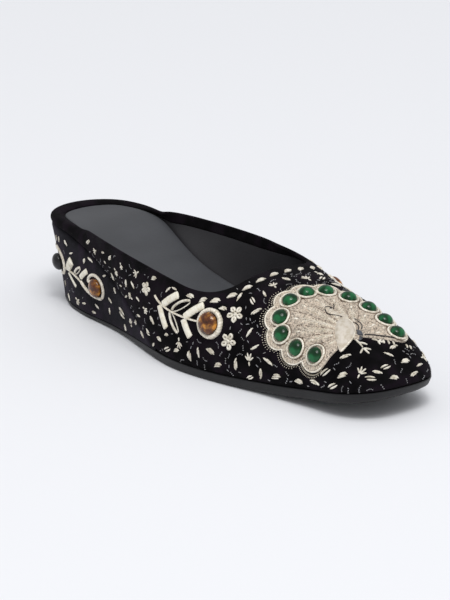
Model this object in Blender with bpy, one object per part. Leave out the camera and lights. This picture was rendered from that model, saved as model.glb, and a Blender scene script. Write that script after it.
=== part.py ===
"""Right shoe of a pair of women's slip-on wedge mules in velvet, in metres.

The toe points toward -Y, the heel is at +Y and the foot's outer side is at -X.
The shoe stands on z = 0 and its origin is the bottom centre of its box.
Shapes are worked out in the shoe's own millimetres: "along" runs from the back
of the heel to the toe, "across" is positive toward the outer side, and "height"
is measured from the floor.  The feather line is where upper and sole meet.
"""
from typing import NamedTuple

import bmesh
import bpy
import numpy as np
from mathutils.bvhtree import BVHTree

MM = 0.001
LENGTH = 269.0            # heel back to toe, along the feather line
GAP = 0.3                 # between pieces that touch
WALL = 2.0                # upper: velvet, padding and lining together
WEDGE_END = 129.0         # where the wedge has run out under the ball
INSOLE_CLEARANCE = (0.4, 1.3)  # between the insole's edge and the lining, at 240 and 256 mm
EDGE_TUCK = (0.3, 2.0, 2.4)   # how far the tread stands in at 120, 170 mm and the toe
COLUMNS_PER_STATION = 3
UPPER_ROWS = 11
GREEN_RADIUS = 3.8
GREEN_HEIGHT = 3.4
AMBER_RADIUS = 5.4        # the two on the upper
AMBER_HEIGHT = 4.0
HEEL_AMBER_RADIUS = 4.9   # the two on the wedge
HEEL_AMBER_HEIGHT = 3.6
BEAD_RADIUS = 4.6
BEAD_HEIGHT = 4.0
STONE_SIDES = 14
STONE_LIFT = 1.0          # a flat back clears the curved velvet under it


class Station(NamedTuple):
    """One place round the feather line and the wall that rises from it."""

    along: float          # the feather line's point
    across: float
    top_along: float      # the collar edge's point above it
    top_across: float
    top_height: float
    rise: float           # how far the wall climbs before it turns
    flare: float          # how far it leans out as it climbs
    reach: float          # share of the way back to the feather line
    drop: float           # height at which it leaves the collar edge, against it


STATIONS = [
    # heel back, then the outer side to the toe
    Station(0.0, 0.0, 8.6, 0.0, 46.2, 4.6, 1.2, 0.62, 1.7),
    Station(10.0, 20.8, 14.6, 15.6, 46.2, 4.6, 1.2, 0.62, 1.7),
    Station(24.0, 26.8, 25.4, 20.8, 46.3, 4.6, 1.2, 0.62, 1.6),
    Station(42.0, 28.9, 42.4, 25.6, 46.6, 4.8, 1.8, 0.50, 0.4),
    Station(60.0, 30.0, 60.0, 30.9, 47.0, 6.0, 2.6, 0.30, -3.0),
    Station(80.0, 32.0, 80.0, 35.9, 47.4, 8.0, 3.4, 0.20, -6.0),
    Station(100.0, 35.8, 100.0, 39.4, 47.0, 10.0, 3.6, 0.20, -8.0),
    Station(120.0, 40.4, 119.0, 40.8, 45.8, 13.0, 3.0, 0.20, -8.0),
    Station(143.0, 43.8, 138.0, 40.6, 43.9, 15.0, 2.0, 0.30, -6.0),
    Station(165.0, 42.4, 153.0, 38.0, 42.3, 16.0, 1.4, 0.45, -3.0),
    Station(183.0, 39.0, 163.0, 33.0, 41.9, 18.0, 1.0, 0.55, -1.5),
    Station(200.0, 35.2, 168.0, 25.5, 43.6, 17.3, 0.8, 0.53, -1.0),
    Station(218.0, 32.2, 169.4, 18.5, 45.7, 15.0, 0.8, 0.52, -1.2),
    Station(236.0, 29.4, 169.4, 12.5, 47.2, 12.8, 0.8, 0.53, -1.4),
    Station(253.0, 26.8, 169.2, 7.5, 48.1, 10.1, 0.8, 0.56, -1.4),
    Station(264.8, 18.4, 169.0, 3.2, 48.6, 8.9, 0.8, 0.58, -1.4),
    # toe, then the inner side back to the heel
    Station(269.0, 0.0, 169.0, -1.0, 48.8, 8.6, 0.8, 0.60, -1.2),
    Station(264.8, -18.4, 169.0, -5.0, 48.7, 9.4, 0.8, 0.61, -1.0),
    Station(253.0, -26.8, 169.0, -9.0, 48.4, 11.6, 0.8, 0.61, -0.8),
    Station(236.0, -28.8, 169.0, -13.5, 48.0, 14.8, 0.8, 0.60, -0.8),
    Station(218.0, -30.4, 168.4, -18.5, 47.5, 17.5, 0.8, 0.58, -0.8),
    Station(200.0, -33.4, 167.0, -23.5, 46.8, 18.8, 0.8, 0.56, -0.8),
    Station(182.0, -38.4, 162.0, -29.0, 46.2, 19.0, 0.8, 0.52, -0.8),
    Station(165.0, -39.6, 151.0, -32.6, 46.4, 19.0, 0.8, 0.48, -0.8),
    Station(148.0, -37.2, 138.0, -34.2, 46.9, 17.0, 1.0, 0.45, -1.2),
    Station(132.0, -31.8, 125.0, -34.0, 47.4, 14.0, 3.0, 0.30, -4.0),
    Station(116.0, -25.2, 112.0, -33.0, 47.9, 11.0, 5.0, 0.20, -7.0),
    Station(100.0, -20.6, 98.0, -31.4, 48.4, 9.0, 6.0, 0.15, -8.0),
    Station(82.0, -20.4, 82.0, -29.9, 48.4, 8.0, 6.0, 0.12, -7.0),
    Station(62.0, -24.2, 62.0, -28.2, 47.8, 6.0, 3.5, 0.20, -3.5),
    Station(42.0, -27.8, 42.4, -24.6, 46.8, 4.8, 1.8, 0.50, 0.4),
    Station(24.0, -26.6, 25.4, -20.8, 46.4, 4.6, 1.2, 0.62, 1.6),
    Station(10.0, -20.8, 14.6, -15.6, 46.2, 4.6, 1.2, 0.62, 1.7),
]


class Level(NamedTuple):
    """Heights of the layers at one distance from the heel."""

    along: float
    underside: float      # of the outsole: arch and toe spring
    sole: float           # top of the outsole
    feather: float        # underside of the upper
    insole: float         # where the foot rests
    base_inset: float     # how far the outsole stands inside the feather line


LEVELS = [
    Level(0.0, 0.0, 2.2, 43.2, 45.6, 6.7),
    Level(20.0, 0.0, 2.2, 43.0, 46.0, 6.0),
    Level(36.0, 0.0, 2.2, 41.8, 45.5, 2.6),
    Level(50.0, 0.0, 2.2, 38.6, 43.0, 1.0),
    Level(62.0, 0.2, 2.4, 35.0, 39.8, 0.8),
    Level(76.0, 0.6, 2.8, 29.6, 35.6, 0.8),
    Level(90.0, 0.8, 3.2, 23.6, 31.0, 0.8),
    Level(104.0, 0.7, 3.7, 17.8, 26.2, 0.8),
    Level(117.0, 0.3, 4.2, 11.8, 21.2, 0.8),
    Level(125.0, 0.1, 4.5, 8.0, 18.4, 0.7),
    Level(132.0, 0.0, 4.7, 5.9, 16.0, 0.4),
    Level(142.0, 0.0, 4.9, 5.2, 12.9, 0.0),
    Level(156.0, 0.0, 4.9, 5.2, 10.4, -0.2),
    Level(172.0, 0.0, 5.0, 5.3, 9.4, -0.2),
    Level(195.0, 0.8, 6.0, 6.3, 10.0, -0.2),
    Level(215.0, 2.6, 7.8, 8.1, 11.5, -0.2),
    Level(235.0, 5.0, 10.4, 10.7, 14.0, -0.2),
    Level(254.0, 7.9, 13.2, 13.5, 16.8, -0.2),
    Level(269.0, 11.2, 15.6, 15.9, 19.0, -0.2),
]


class Seat(NamedTuple):
    """Where a domed stone sits on the velvet."""

    name: str
    along: float
    across: float
    height: float


# eleven green stones follow the scalloped edge of the fan on the vamp
FAN_SEATS = [
    Seat("green_stone_01", 234.2, 25.8, 26.8),
    Seat("green_stone_02", 222.0, 27.4, 27.4),
    Seat("green_stone_03", 210.8, 27.1, 31.3),
    Seat("green_stone_04", 205.2, 23.4, 37.2),
    Seat("green_stone_05", 202.8, 15.8, 43.0),
    Seat("green_stone_06", 203.6, 6.6, 45.0),
    Seat("green_stone_07", 207.2, -2.4, 45.0),
    Seat("green_stone_08", 216.4, -8.7, 42.8),
    Seat("green_stone_09", 227.0, -12.0, 39.5),
    Seat("green_stone_10", 237.4, -13.0, 35.8),
    Seat("green_stone_11", 246.6, -12.4, 32.0),
]
# a brown stone ends each leaf spray: two on the upper and two on the wedge
FOREPART_SEATS = [
    Seat("amber_fore_outer", 170.6, 39.5, 29.3),
    Seat("amber_fore_inner", 173.3, -35.9, 33.1),
]
HEEL_SEATS = [
    Seat("amber_heel_outer", 64.6, 30.0, 19.8),
    Seat("amber_heel_inner", 64.6, -24.5, 19.8),
]
# and a dark bead starts each heel spray
BEAD_SEATS = [
    Seat("bead_heel_outer", 22.0, 23.0, 23.0),
    Seat("bead_heel_inner", 22.0, -23.0, 23.0),
]


def cyclic_spline(knots, period, values, wanted):
    """A smooth closed curve through values (n, k) at the knots, read at wanted."""
    count = len(knots)
    step = np.diff(np.r_[knots, knots[0] + period])
    before = np.roll(step, 1)
    index = np.arange(count)
    matrix = np.zeros((count, count))
    matrix[index, index] = 2.0 * (before + step)
    matrix[index, (index + 1) % count] += step
    matrix[index, (index - 1) % count] += before
    ahead = (np.roll(values, -1, axis=0) - values) / step[:, None]
    behind = (values - np.roll(values, 1, axis=0)) / before[:, None]
    bend = np.linalg.solve(matrix, 6.0 * (ahead - behind))
    place = np.mod(wanted - knots[0], period) + knots[0]
    low = np.searchsorted(knots, place, side="right") - 1
    high = (low + 1) % count
    width = step[low][:, None]
    done = (place - knots[low])[:, None]
    left = width - done
    curve = (bend[low] * left ** 3 + bend[high] * done ** 3) / (6.0 * width)
    curve += (values[low] / width - bend[low] * width / 6.0) * left
    curve += (values[high] / width - bend[high] * width / 6.0) * done
    return curve


def profile(column, along):
    """A layer's height (a column of LEVELS) at each distance from the heel."""
    xs = np.array([level.along for level in LEVELS])
    ys = np.array([getattr(level, column) for level in LEVELS])
    slopes = np.gradient(ys, xs)
    along = np.clip(along, xs[0], xs[-1])
    low = np.clip(np.searchsorted(xs, along, side="right") - 1, 0, len(xs) - 2)
    width = xs[low + 1] - xs[low]
    t = (along - xs[low]) / width
    start = (2 * t ** 3 - 3 * t ** 2 + 1) * ys[low]
    end = (3 * t ** 2 - 2 * t ** 3) * ys[low + 1]
    lean_in = (t ** 3 - 2 * t ** 2 + t) * width * slopes[low]
    lean_out = (t ** 3 - t ** 2) * width * slopes[low + 1]
    return start + end + lean_in + lean_out


class Last:
    """The form that the shoe is built round, read at any place on its side."""

    def __init__(self, stations):
        self.rows = np.array(stations)
        steps = np.roll(self.rows[:, :2], -1, axis=0) - self.rows[:, :2]
        lengths = np.hypot(steps[:, 0], steps[:, 1])
        self.knots = np.r_[0.0, np.cumsum(lengths)[:-1]]
        self.period = lengths.sum()

    def columns(self, per_station):
        """Places round the shoe, closer together where the stations are."""
        edges = np.r_[self.knots, self.period]
        index = np.arange(len(self.knots) * per_station) / per_station
        return np.interp(index, np.arange(len(edges)), edges)

    def read(self, places):
        return cyclic_spline(self.knots, self.period, self.rows, places)

    def outward(self, places):
        """The level direction that points away from the shoe at each place."""
        ahead = self.read(places + 0.05)[:, :2] - self.read(places - 0.05)[:, :2]
        ahead /= np.linalg.norm(ahead, axis=1)[:, None]
        return np.c_[-ahead[:, 1], ahead[:, 0]]

    def outline(self, inset, places):
        """The feather line moved inward by inset, a number or one per place."""
        plan = self.read(places)[:, :2]
        return plan - self.outward(places) * np.reshape(inset, (-1, 1))

    def wall(self, places, shares):
        """The upper's outer face: places round the shoe by shares up the wall."""
        row = self.read(places)
        foot = np.c_[row[:, :2], profile("feather", row[:, 0])]
        top = row[:, 2:5]
        first = foot.copy()
        first[:, :2] += self.outward(places) * row[:, 6:7]
        first[:, 2] += row[:, 5]
        second = top.copy()
        second[:, :2] += (foot - top)[:, :2] * row[:, 7:8]
        second[:, 2] += row[:, 8]
        t = np.asarray(shares)[None, :, None]
        curve = foot[:, None] * (1 - t) ** 3 + 3 * first[:, None] * t * (1 - t) ** 2
        return curve + 3 * second[:, None] * t ** 2 * (1 - t) + top[:, None] * t ** 3

    def wall_normals(self, places, shares):
        """Unit vectors out of the wall at each point of the same grid."""
        small = 0.002
        shares = np.asarray(shares)
        round_it = self.wall(places + 0.1, shares) - self.wall(places - 0.1, shares)
        up_it = self.wall(places, shares + small) - self.wall(places, shares - small)
        normals = np.cross(up_it, round_it)
        return normals / np.linalg.norm(normals, axis=2)[..., None]


def to_world(points, middle):
    """Shoe millimetres to metres, with the box's bottom centre at the origin."""
    points = np.asarray(points, dtype=float).reshape(-1, 3)
    return np.c_[middle[1] - points[:, 1], middle[0] - points[:, 0], points[:, 2]] * MM


def material(name, colour, roughness, metallic=0.0):
    made = bpy.data.materials.new(name)
    made.use_nodes = True
    shader = made.node_tree.nodes["Principled BSDF"]
    shader.inputs["Base Color"].default_value = (*colour, 1.0)
    shader.inputs["Roughness"].default_value = roughness
    shader.inputs["Metallic"].default_value = metallic
    return made


def add_object(name, points, faces, look):
    """Make one closed object, its faces turned outward, and shade it smooth."""
    mesh = bpy.data.meshes.new(name)
    mesh.from_pydata(points.tolist(), [], faces)
    shape = bmesh.new()
    shape.from_mesh(mesh)
    bmesh.ops.recalc_face_normals(shape, faces=shape.faces)
    shape.to_mesh(mesh)
    shape.free()
    mesh.shade_smooth()
    mesh.set_sharp_from_angle(angle=0.7)
    mesh.materials.append(look)
    made = bpy.data.objects.new(name, mesh)
    bpy.context.scene.collection.objects.link(made)
    return made


def ring_faces(rings, sides):
    """Quads round a grid of rings whose last ring joins the first."""
    faces = []
    for ring in range(rings):
        after = (ring + 1) % rings
        for side in range(sides):
            beside = (side + 1) % sides
            faces.append((ring * sides + side, ring * sides + beside,
                          after * sides + beside, after * sides + side))
    return faces


def tube_faces(rings, sides):
    """Quads along a tube of rings, with a flat cap at each end."""
    faces = ring_faces(rings, sides)[:(rings - 1) * sides]
    last = (rings - 1) * sides
    faces.append(tuple(range(sides)))
    faces.append(tuple(range(last, last + sides)))
    return faces


def upper_points(last):
    """Rows of the hollow wall: up the outside, over the edge, down the lining."""
    places = last.columns(COLUMNS_PER_STATION)
    shares = np.sin(np.linspace(0.0, 1.0, UPPER_ROWS) * np.pi / 2.0) ** 1.3
    outer = last.wall(places, shares)
    normals = last.wall_normals(places, shares)
    inner = outer - normals * WALL
    inner[:, 0, 2] = outer[:, 0, 2]
    edge = (outer[:, -1] + inner[:, -1]) / 2.0
    along_wall = outer[:, -1] - outer[:, -2]
    along_wall /= np.linalg.norm(along_wall, axis=1)[:, None]
    edge += along_wall * WALL * 0.4
    return np.concatenate([outer, edge[:, None], inner[:, ::-1]], axis=1)


def insole_inset(last, places, rows):
    """How far inside the feather line the insole clears the upper's rows."""
    row = last.read(places)
    ceiling = profile("insole", row[:, 0]) + 1.2
    away = (row[:, None, :2] - rows[:, :, :2]) * last.outward(places)[:, None]
    inward = np.where(rows[:, :, 2] < ceiling[:, None], away.sum(axis=2), 0.0)
    inset = inward.max(axis=1) + np.interp(row[:, 0], [240.0, 256.0], INSOLE_CLEARANCE)
    padded = np.maximum(inset, np.maximum(np.roll(inset, 1), np.roll(inset, -1)))
    return (np.roll(padded, 1) + 2.0 * padded + np.roll(padded, -1)) / 4.0


def half_widths(plan, along):
    """The outer and inner edge of a closed outline at each distance."""
    heel = plan[:, 0].argmin()
    toe = plan[:, 0].argmax()
    plan = np.roll(plan, -heel, axis=0)
    turn = (toe - heel) % len(plan)
    outer = plan[:turn + 1]
    inner = np.r_[plan[turn:], plan[:1]][::-1]
    return (np.interp(along, outer[:, 0], outer[:, 1]),
            np.interp(along, inner[:, 0], inner[:, 1]))


def spread(start, end, count, round_start, round_end):
    """Distances from start to end, closer together at a rounded end."""
    turn = np.linspace(-np.pi if round_start else -np.pi / 2,
                       0.0 if round_end else -np.pi / 2, count)
    if not (round_start or round_end):
        return np.linspace(start, end, count)
    wave = np.cos(turn)
    share = (wave - wave[0]) / (wave[-1] - wave[0])
    even = np.linspace(0.0, 1.0, count)
    return start + (0.75 * share + 0.25 * even) * (end - start)


def slab_points(low_plan, low_height, high_plan, high_height, rings, stop, hollow):
    """Cross-sections of a solid between two outlines and two layer heights.

    The sides run from the low outline to the high one with two rows between,
    drawn in by the power hollow, so that a wall can be slightly concave.
    """
    edge = 0.02
    sections = []
    low_end = stop or low_plan[:, 0].max() - edge
    high_end = stop or high_plan[:, 0].max() - edge
    low_along = spread(low_plan[:, 0].min() + edge, low_end, rings, True, not stop)
    high_along = spread(high_plan[:, 0].min() + edge, high_end, rings, True, not stop)
    low_outer, low_inner = half_widths(low_plan, low_along)
    high_outer, high_inner = half_widths(high_plan, high_along)
    shares = np.array([0.0, 0.3, 0.65, 1.0])
    for side_low, side_high in ((low_outer, high_outer), (low_inner, high_inner)):
        bottom = np.c_[low_along, side_low, low_height(low_along)][:, None]
        top = np.c_[high_along, side_high, high_height(high_along)][:, None]
        drawn = np.stack([shares ** hollow, shares ** hollow, shares], axis=1)
        sections.append(bottom + (top - bottom) * drawn[None])
    return np.concatenate([sections[0], sections[1][:, ::-1]], axis=1)


def dome_points(seat, normal, radius, height):
    """A flat-backed dome on a seat: a low girdle, then a rounded crown."""
    turn = np.linspace(0.0, 2.0 * np.pi, STONE_SIDES, endpoint=False)
    helper = np.array([1.0, 0.0, 0.0]) if abs(normal[0]) < 0.9 else np.array([0.0, 1.0, 0.0])
    one = np.cross(normal, helper)
    one /= np.linalg.norm(one)
    two = np.cross(normal, one)
    circle = np.cos(turn)[:, None] * one + np.sin(turn)[:, None] * two
    radius, height, lift = radius * MM, height * MM, STONE_LIFT * MM
    girdle = 0.22 * height
    climb = np.linspace(0.0, 1.0, 5)[:-1] * np.pi / 2.0
    rings = [(radius * 0.94, 0.0)]
    rings += [(radius * np.cos(a), girdle + (height - girdle) * np.sin(a)) for a in climb]
    base = seat + normal * lift
    points = [base + normal * up + circle * wide for wide, up in rings]
    tip = base + normal * height
    points = np.concatenate(points + [tip[None]])
    sides = STONE_SIDES
    faces = ring_faces(len(rings), sides)[:(len(rings) - 1) * sides]
    faces.append(tuple(range(sides)))
    top = (len(rings) - 1) * sides
    faces += [(top + i, top + (i + 1) % sides, len(rings) * sides) for i in range(sides)]
    return points, faces


def skin_of(solid):
    """A solid's faces, ready to be searched for the nearest place."""
    corners = [corner.co[:] for corner in solid.data.vertices]
    return BVHTree.FromPolygons(corners, [face.vertices[:] for face in solid.data.polygons])


def add_stones(seats, support, radius, height, look, middle):
    """Set a dome on the support's skin at the place nearest to each seat."""
    skin = skin_of(support)
    for seat in seats:
        place, normal, _, _ = skin.find_nearest(to_world(seat[1:], middle)[0])
        points, faces = dome_points(np.array(place), np.array(normal), radius, height)
        add_object(seat.name, points, faces, look)


def clear_scene():
    for leftover in list(bpy.data.objects):
        bpy.data.objects.remove(leftover, do_unlink=True)


def build():
    clear_scene()
    last = Last(STATIONS)
    velvet = material("velvet", (0.012, 0.010, 0.014), 0.85)
    sole_look = material("sole_leather", (0.060, 0.058, 0.062), 0.55)
    sock_look = material("sock_leather", (0.105, 0.103, 0.110), 0.60)
    green = material("green_stone", (0.0, 0.085, 0.030), 0.12)
    amber = material("amber_stone", (0.250, 0.085, 0.015), 0.12)
    dark = material("dark_bead", (0.020, 0.020, 0.022), 0.25)

    places = last.columns(COLUMNS_PER_STATION)
    fine = np.linspace(0.0, last.period, 1400, endpoint=False)
    feather = last.outline(0.0, fine)
    base_inset = profile("base_inset", last.read(fine)[:, 0])
    base = last.outline(base_inset, fine)

    rows = upper_points(last)
    flat = rows.reshape(-1, 3)
    middle = (flat[:, :2].min(axis=0) + flat[:, :2].max(axis=0)) / 2.0
    upper = add_object("upper", to_world(flat, middle), ring_faces(*rows.shape[:2]), velvet)

    along = last.read(fine)[:, 0]
    tread = last.outline(base_inset + np.interp(along, [120.0, 170.0, LENGTH], EDGE_TUCK), fine)
    sole = slab_points(tread, lambda s: profile("underside", s),
                       base, lambda s: profile("sole", s), 44, None, 0.6)
    add_object("outsole", to_world(sole, middle), tube_faces(*sole.shape[:2]), sole_look)

    block = slab_points(base, lambda s: profile("sole", s) + GAP,
                        feather, lambda s: profile("feather", s) - GAP, 30, WEDGE_END, 1.25)
    wedge = add_object("wedge", to_world(block, middle), tube_faces(*block.shape[:2]), velvet)

    inset = insole_inset(last, places, rows)
    inset = np.interp(fine, np.r_[places, last.period], np.r_[inset, inset[:1]])
    sock = last.outline(inset, fine)
    pad = slab_points(sock, lambda s: profile("feather", s) + GAP,
                      sock, lambda s: profile("insole", s), 44, None, 1.0)
    add_object("insole", to_world(pad, middle), tube_faces(*pad.shape[:2]), sock_look)

    add_stones(FAN_SEATS, upper, GREEN_RADIUS, GREEN_HEIGHT, green, middle)
    add_stones(FOREPART_SEATS, upper, AMBER_RADIUS, AMBER_HEIGHT, amber, middle)
    add_stones(HEEL_SEATS, wedge, HEEL_AMBER_RADIUS, HEEL_AMBER_HEIGHT, amber, middle)
    add_stones(BEAD_SEATS, wedge, BEAD_RADIUS, BEAD_HEIGHT, dark, middle)


build()
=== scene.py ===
"""Right shoe of a pair of velvet wedge mules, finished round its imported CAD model.

Sizes are the shoe's own millimetres: "along" runs from the heel's back to the toe,
"across" is positive toward the foot's outer side, and "height" starts at the floor.
The velvet faces are skins, read at a spot: a place round the shoe and a share of
the way up.  Threads, stones and cords are laid over a skin by walking from a seat.
Surfaces are worked out as whole arrays and turned into metres when a piece is made.
"""
import logging
from abc import ABC, abstractmethod
from collections.abc import Callable
from dataclasses import dataclass
from enum import Enum
from typing import NamedTuple

import bmesh
import bpy
import numpy as np
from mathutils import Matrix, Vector


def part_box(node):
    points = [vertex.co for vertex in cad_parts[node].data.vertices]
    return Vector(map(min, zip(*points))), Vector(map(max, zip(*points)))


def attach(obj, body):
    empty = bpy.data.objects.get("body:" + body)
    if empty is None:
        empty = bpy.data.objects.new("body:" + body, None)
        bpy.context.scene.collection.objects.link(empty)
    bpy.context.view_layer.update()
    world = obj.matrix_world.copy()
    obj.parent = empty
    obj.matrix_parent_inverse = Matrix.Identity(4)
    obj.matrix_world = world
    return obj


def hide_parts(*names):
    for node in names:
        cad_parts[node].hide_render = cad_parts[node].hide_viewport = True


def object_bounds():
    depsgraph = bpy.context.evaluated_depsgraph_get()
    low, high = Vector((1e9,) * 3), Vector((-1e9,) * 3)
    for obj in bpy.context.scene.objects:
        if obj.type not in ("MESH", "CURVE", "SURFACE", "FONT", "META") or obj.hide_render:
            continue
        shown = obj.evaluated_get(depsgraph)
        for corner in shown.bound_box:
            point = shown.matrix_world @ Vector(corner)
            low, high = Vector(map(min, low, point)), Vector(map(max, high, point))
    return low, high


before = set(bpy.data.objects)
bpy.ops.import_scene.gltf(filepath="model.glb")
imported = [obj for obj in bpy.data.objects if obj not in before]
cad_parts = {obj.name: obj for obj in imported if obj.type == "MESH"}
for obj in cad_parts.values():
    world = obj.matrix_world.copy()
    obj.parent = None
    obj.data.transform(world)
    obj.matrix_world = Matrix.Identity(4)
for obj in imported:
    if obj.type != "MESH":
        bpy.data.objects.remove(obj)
CAD_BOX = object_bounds()

LOG = logging.getLogger("wedge_mule")
Numbers = np.ndarray
Socket = bpy.types.NodeSocket
MM = 0.001
TURN = 2.0 * np.pi
BODY = "root"
WELD = 2e-7               # metres; closes tips and seams
GAP = 0.3                 # between pieces that touch
WALL = 2.0                # the upper's velvet, padding and lining together
LENGTH = 269.0            # of the shoe at its feather line
WEDGE_END = 129.0         # where the wedge has run out under the ball
HEEL_END = 22.0           # the layers' middle line starts this far from the heel's back
TOE_END = 24.0            # and stops this far from the toe
TABLE_SIZE = 4000         # readings kept round the last
REACH_SIZE = 1600         # and of the layers' heights along it
ROUND_STEP = np.array([0.3, 0.0])     # half the step over which a skin's slopes are read
UP_STEP = np.array([0.0, 0.004])
CANDIDATES = 9000         # places drawn before the unfit ones are dropped
CREASE = 0.9              # radians past which a leather or velvet edge is sharp
TOEWARD = np.array([1.0, 0.0, 0.0])


class Station(NamedTuple):
    """One place round the feather line and the wall that rises from it."""

    along: float
    across: float
    top_along: float      # the collar edge's point above it
    top_across: float
    top_height: float
    rise: float           # how far the wall climbs before it turns
    flare: float          # how far it leans out as it climbs
    reach: float          # share of the way back to the feather line
    drop: float           # height at which it leaves the collar edge, against it


STATIONS = tuple(Station(*row) for row in (
    # heel back, then the outer side to the toe
    (0, 0, 8.6, 0, 46.2, 4.6, 1.2, 0.62, 1.7),
    (10, 20.8, 14.6, 15.6, 46.2, 4.6, 1.2, 0.62, 1.7),
    (24, 26.8, 25.4, 20.8, 46.3, 4.6, 1.2, 0.62, 1.6),
    (42, 28.9, 42.4, 25.6, 46.6, 4.8, 1.8, 0.50, 0.4),
    (60, 30, 60, 30.9, 47, 6, 2.6, 0.30, -3),
    (80, 32, 80, 35.9, 47.4, 8, 3.4, 0.20, -6),
    (100, 35.8, 100, 39.4, 47, 10, 3.6, 0.20, -8),
    (120, 40.4, 119, 40.8, 45.8, 13, 3, 0.20, -8),
    (143, 43.8, 138, 40.6, 43.9, 15, 2, 0.30, -6),
    (165, 42.4, 153, 38, 42.3, 16, 1.4, 0.45, -3),
    (183, 39, 163, 33, 41.9, 18, 1, 0.55, -1.5),
    (200, 35.2, 168, 25.5, 43.6, 17.3, 0.8, 0.53, -1),
    (218, 32.2, 169.4, 18.5, 45.7, 15, 0.8, 0.52, -1.2),
    (236, 29.4, 169.4, 12.5, 47.2, 12.8, 0.8, 0.53, -1.4),
    (253, 26.8, 169.2, 7.5, 48.1, 10.1, 0.8, 0.56, -1.4),
    (264.8, 18.4, 169, 3.2, 48.6, 8.9, 0.8, 0.58, -1.4),
    # toe, then the inner side back to the heel
    (269, 0, 169, -1, 48.8, 8.6, 0.8, 0.60, -1.2),
    (264.8, -18.4, 169, -5, 48.7, 9.4, 0.8, 0.61, -1),
    (253, -26.8, 169, -9, 48.4, 11.6, 0.8, 0.61, -0.8),
    (236, -28.8, 169, -13.5, 48, 14.8, 0.8, 0.60, -0.8),
    (218, -30.4, 168.4, -18.5, 47.5, 17.5, 0.8, 0.58, -0.8),
    (200, -33.4, 167, -23.5, 46.8, 18.8, 0.8, 0.56, -0.8),
    (182, -38.4, 162, -29, 46.2, 19, 0.8, 0.52, -0.8),
    (165, -39.6, 151, -32.6, 46.4, 19, 0.8, 0.48, -0.8),
    (148, -37.2, 138, -34.2, 46.9, 17, 1, 0.45, -1.2),
    (132, -31.8, 125, -34, 47.4, 14, 3, 0.30, -4),
    (116, -25.2, 112, -33, 47.9, 11, 5, 0.20, -7),
    (100, -20.6, 98, -31.4, 48.4, 9, 6, 0.15, -8),
    (82, -20.4, 82, -29.9, 48.4, 8, 6, 0.12, -7),
    (62, -24.2, 62, -28.2, 47.8, 6, 3.5, 0.20, -3.5),
    (42, -27.8, 42.4, -24.6, 46.8, 4.8, 1.8, 0.50, 0.4),
    (24, -26.6, 25.4, -20.8, 46.4, 4.6, 1.2, 0.62, 1.6),
    (10, -20.8, 14.6, -15.6, 46.2, 4.6, 1.2, 0.62, 1.7),
))


class Level(NamedTuple):
    """Heights of the layers at one distance from the heel."""

    along: float
    underside: float      # of the outsole: arch and toe spring
    sole: float           # top of the outsole
    feather: float        # underside of the upper
    insole: float         # where the foot rests
    base_inset: float     # how far the outsole stands inside the feather line


LEVELS = tuple(Level(*row) for row in (
    (0, 0, 2.2, 43.2, 45.6, 6.7),
    (20, 0, 2.2, 43, 46, 6),
    (36, 0, 2.2, 41.8, 45.5, 2.6),
    (50, 0, 2.2, 38.6, 43, 1),
    (62, 0.2, 2.4, 35, 39.8, 0.8),
    (76, 0.6, 2.8, 29.6, 35.6, 0.8),
    (90, 0.8, 3.2, 23.6, 31, 0.8),
    (104, 0.7, 3.7, 17.8, 26.2, 0.8),
    (117, 0.3, 4.2, 11.8, 21.2, 0.8),
    (125, 0.1, 4.5, 8, 18.4, 0.7),
    (132, 0, 4.7, 5.9, 16, 0.4),
    (142, 0, 4.9, 5.2, 12.9, 0),
    (156, 0, 4.9, 5.2, 10.4, -0.2),
    (172, 0, 5, 5.3, 9.4, -0.2),
    (195, 0.8, 6, 6.3, 10, -0.2),
    (215, 2.6, 7.8, 8.1, 11.5, -0.2),
    (235, 5, 10.4, 10.7, 14, -0.2),
    (254, 7.9, 13.2, 13.5, 16.8, -0.2),
    (269, 11.2, 15.6, 15.9, 19, -0.2),
))


class Seat(NamedTuple):
    """Where a domed stone sits on the velvet."""

    along: float
    across: float
    height: float


# eleven green stones follow the scalloped edge of the fan on the vamp
FAN_SEATS = tuple(Seat(*row) for row in (
    (234.2, 25.8, 26.8), (222.0, 27.4, 27.4), (210.8, 27.1, 31.3),
    (205.2, 23.4, 37.2), (202.8, 15.8, 43.0), (203.6, 6.6, 45.0),
    (207.2, -2.4, 45.0), (216.4, -8.7, 42.8), (227.0, -12.0, 39.5),
    (237.4, -13.0, 35.8), (246.6, -12.4, 32.0),
))
AMBER_FORE_SEATS = (Seat(170.6, 39.5, 29.3), Seat(173.3, -35.9, 33.1))
AMBER_HEEL_SEATS = (Seat(64.6, 30, 19.8), Seat(64.6, -24.5, 19.8))
BEAD_SEATS = (Seat(22, 23, 23), Seat(22, -23, 23))


# --- numbers ---

def unit(vectors: Numbers) -> Numbers:
    """Vectors along the last axis, each divided by its length."""
    return vectors / np.maximum(np.linalg.norm(vectors, axis=-1, keepdims=True), 1e-12)


def dots(one: Numbers, other: Numbers) -> Numbers:
    """Products summed along the last axis, which is kept."""
    return np.sum(one * other, axis=-1, keepdims=True)


def even(count: int) -> Numbers:
    """Shares from 0 to 1, evenly spread."""
    return np.linspace(0.0, 1.0, count)


def pairs(places: Numbers, shares: Numbers) -> Numbers:
    """Spots of every place with every share, (places, shares, 2)."""
    return np.stack(np.meshgrid(places, shares, indexing="ij"), axis=-1)


def level(ways: Numbers, out: Numbers) -> Numbers:
    """Unit vectors of ways laid flat on a face, given the way out of it."""
    return unit(ways - dots(ways, out) * out)


def run_along(lines: Numbers) -> Numbers:
    """Length from each line's start to its points, (lines, points)."""
    steps = np.linalg.norm(np.diff(lines, axis=1), axis=2)
    return np.c_[np.zeros(len(lines)), np.cumsum(steps, axis=1)]


def swell(count: int, power: float) -> Numbers:
    """A fullness that rises from 0 and falls back to it: sine of half a turn, to a power."""
    return np.sin(np.linspace(0.0, np.pi, count)).clip(0.0) ** power


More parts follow.
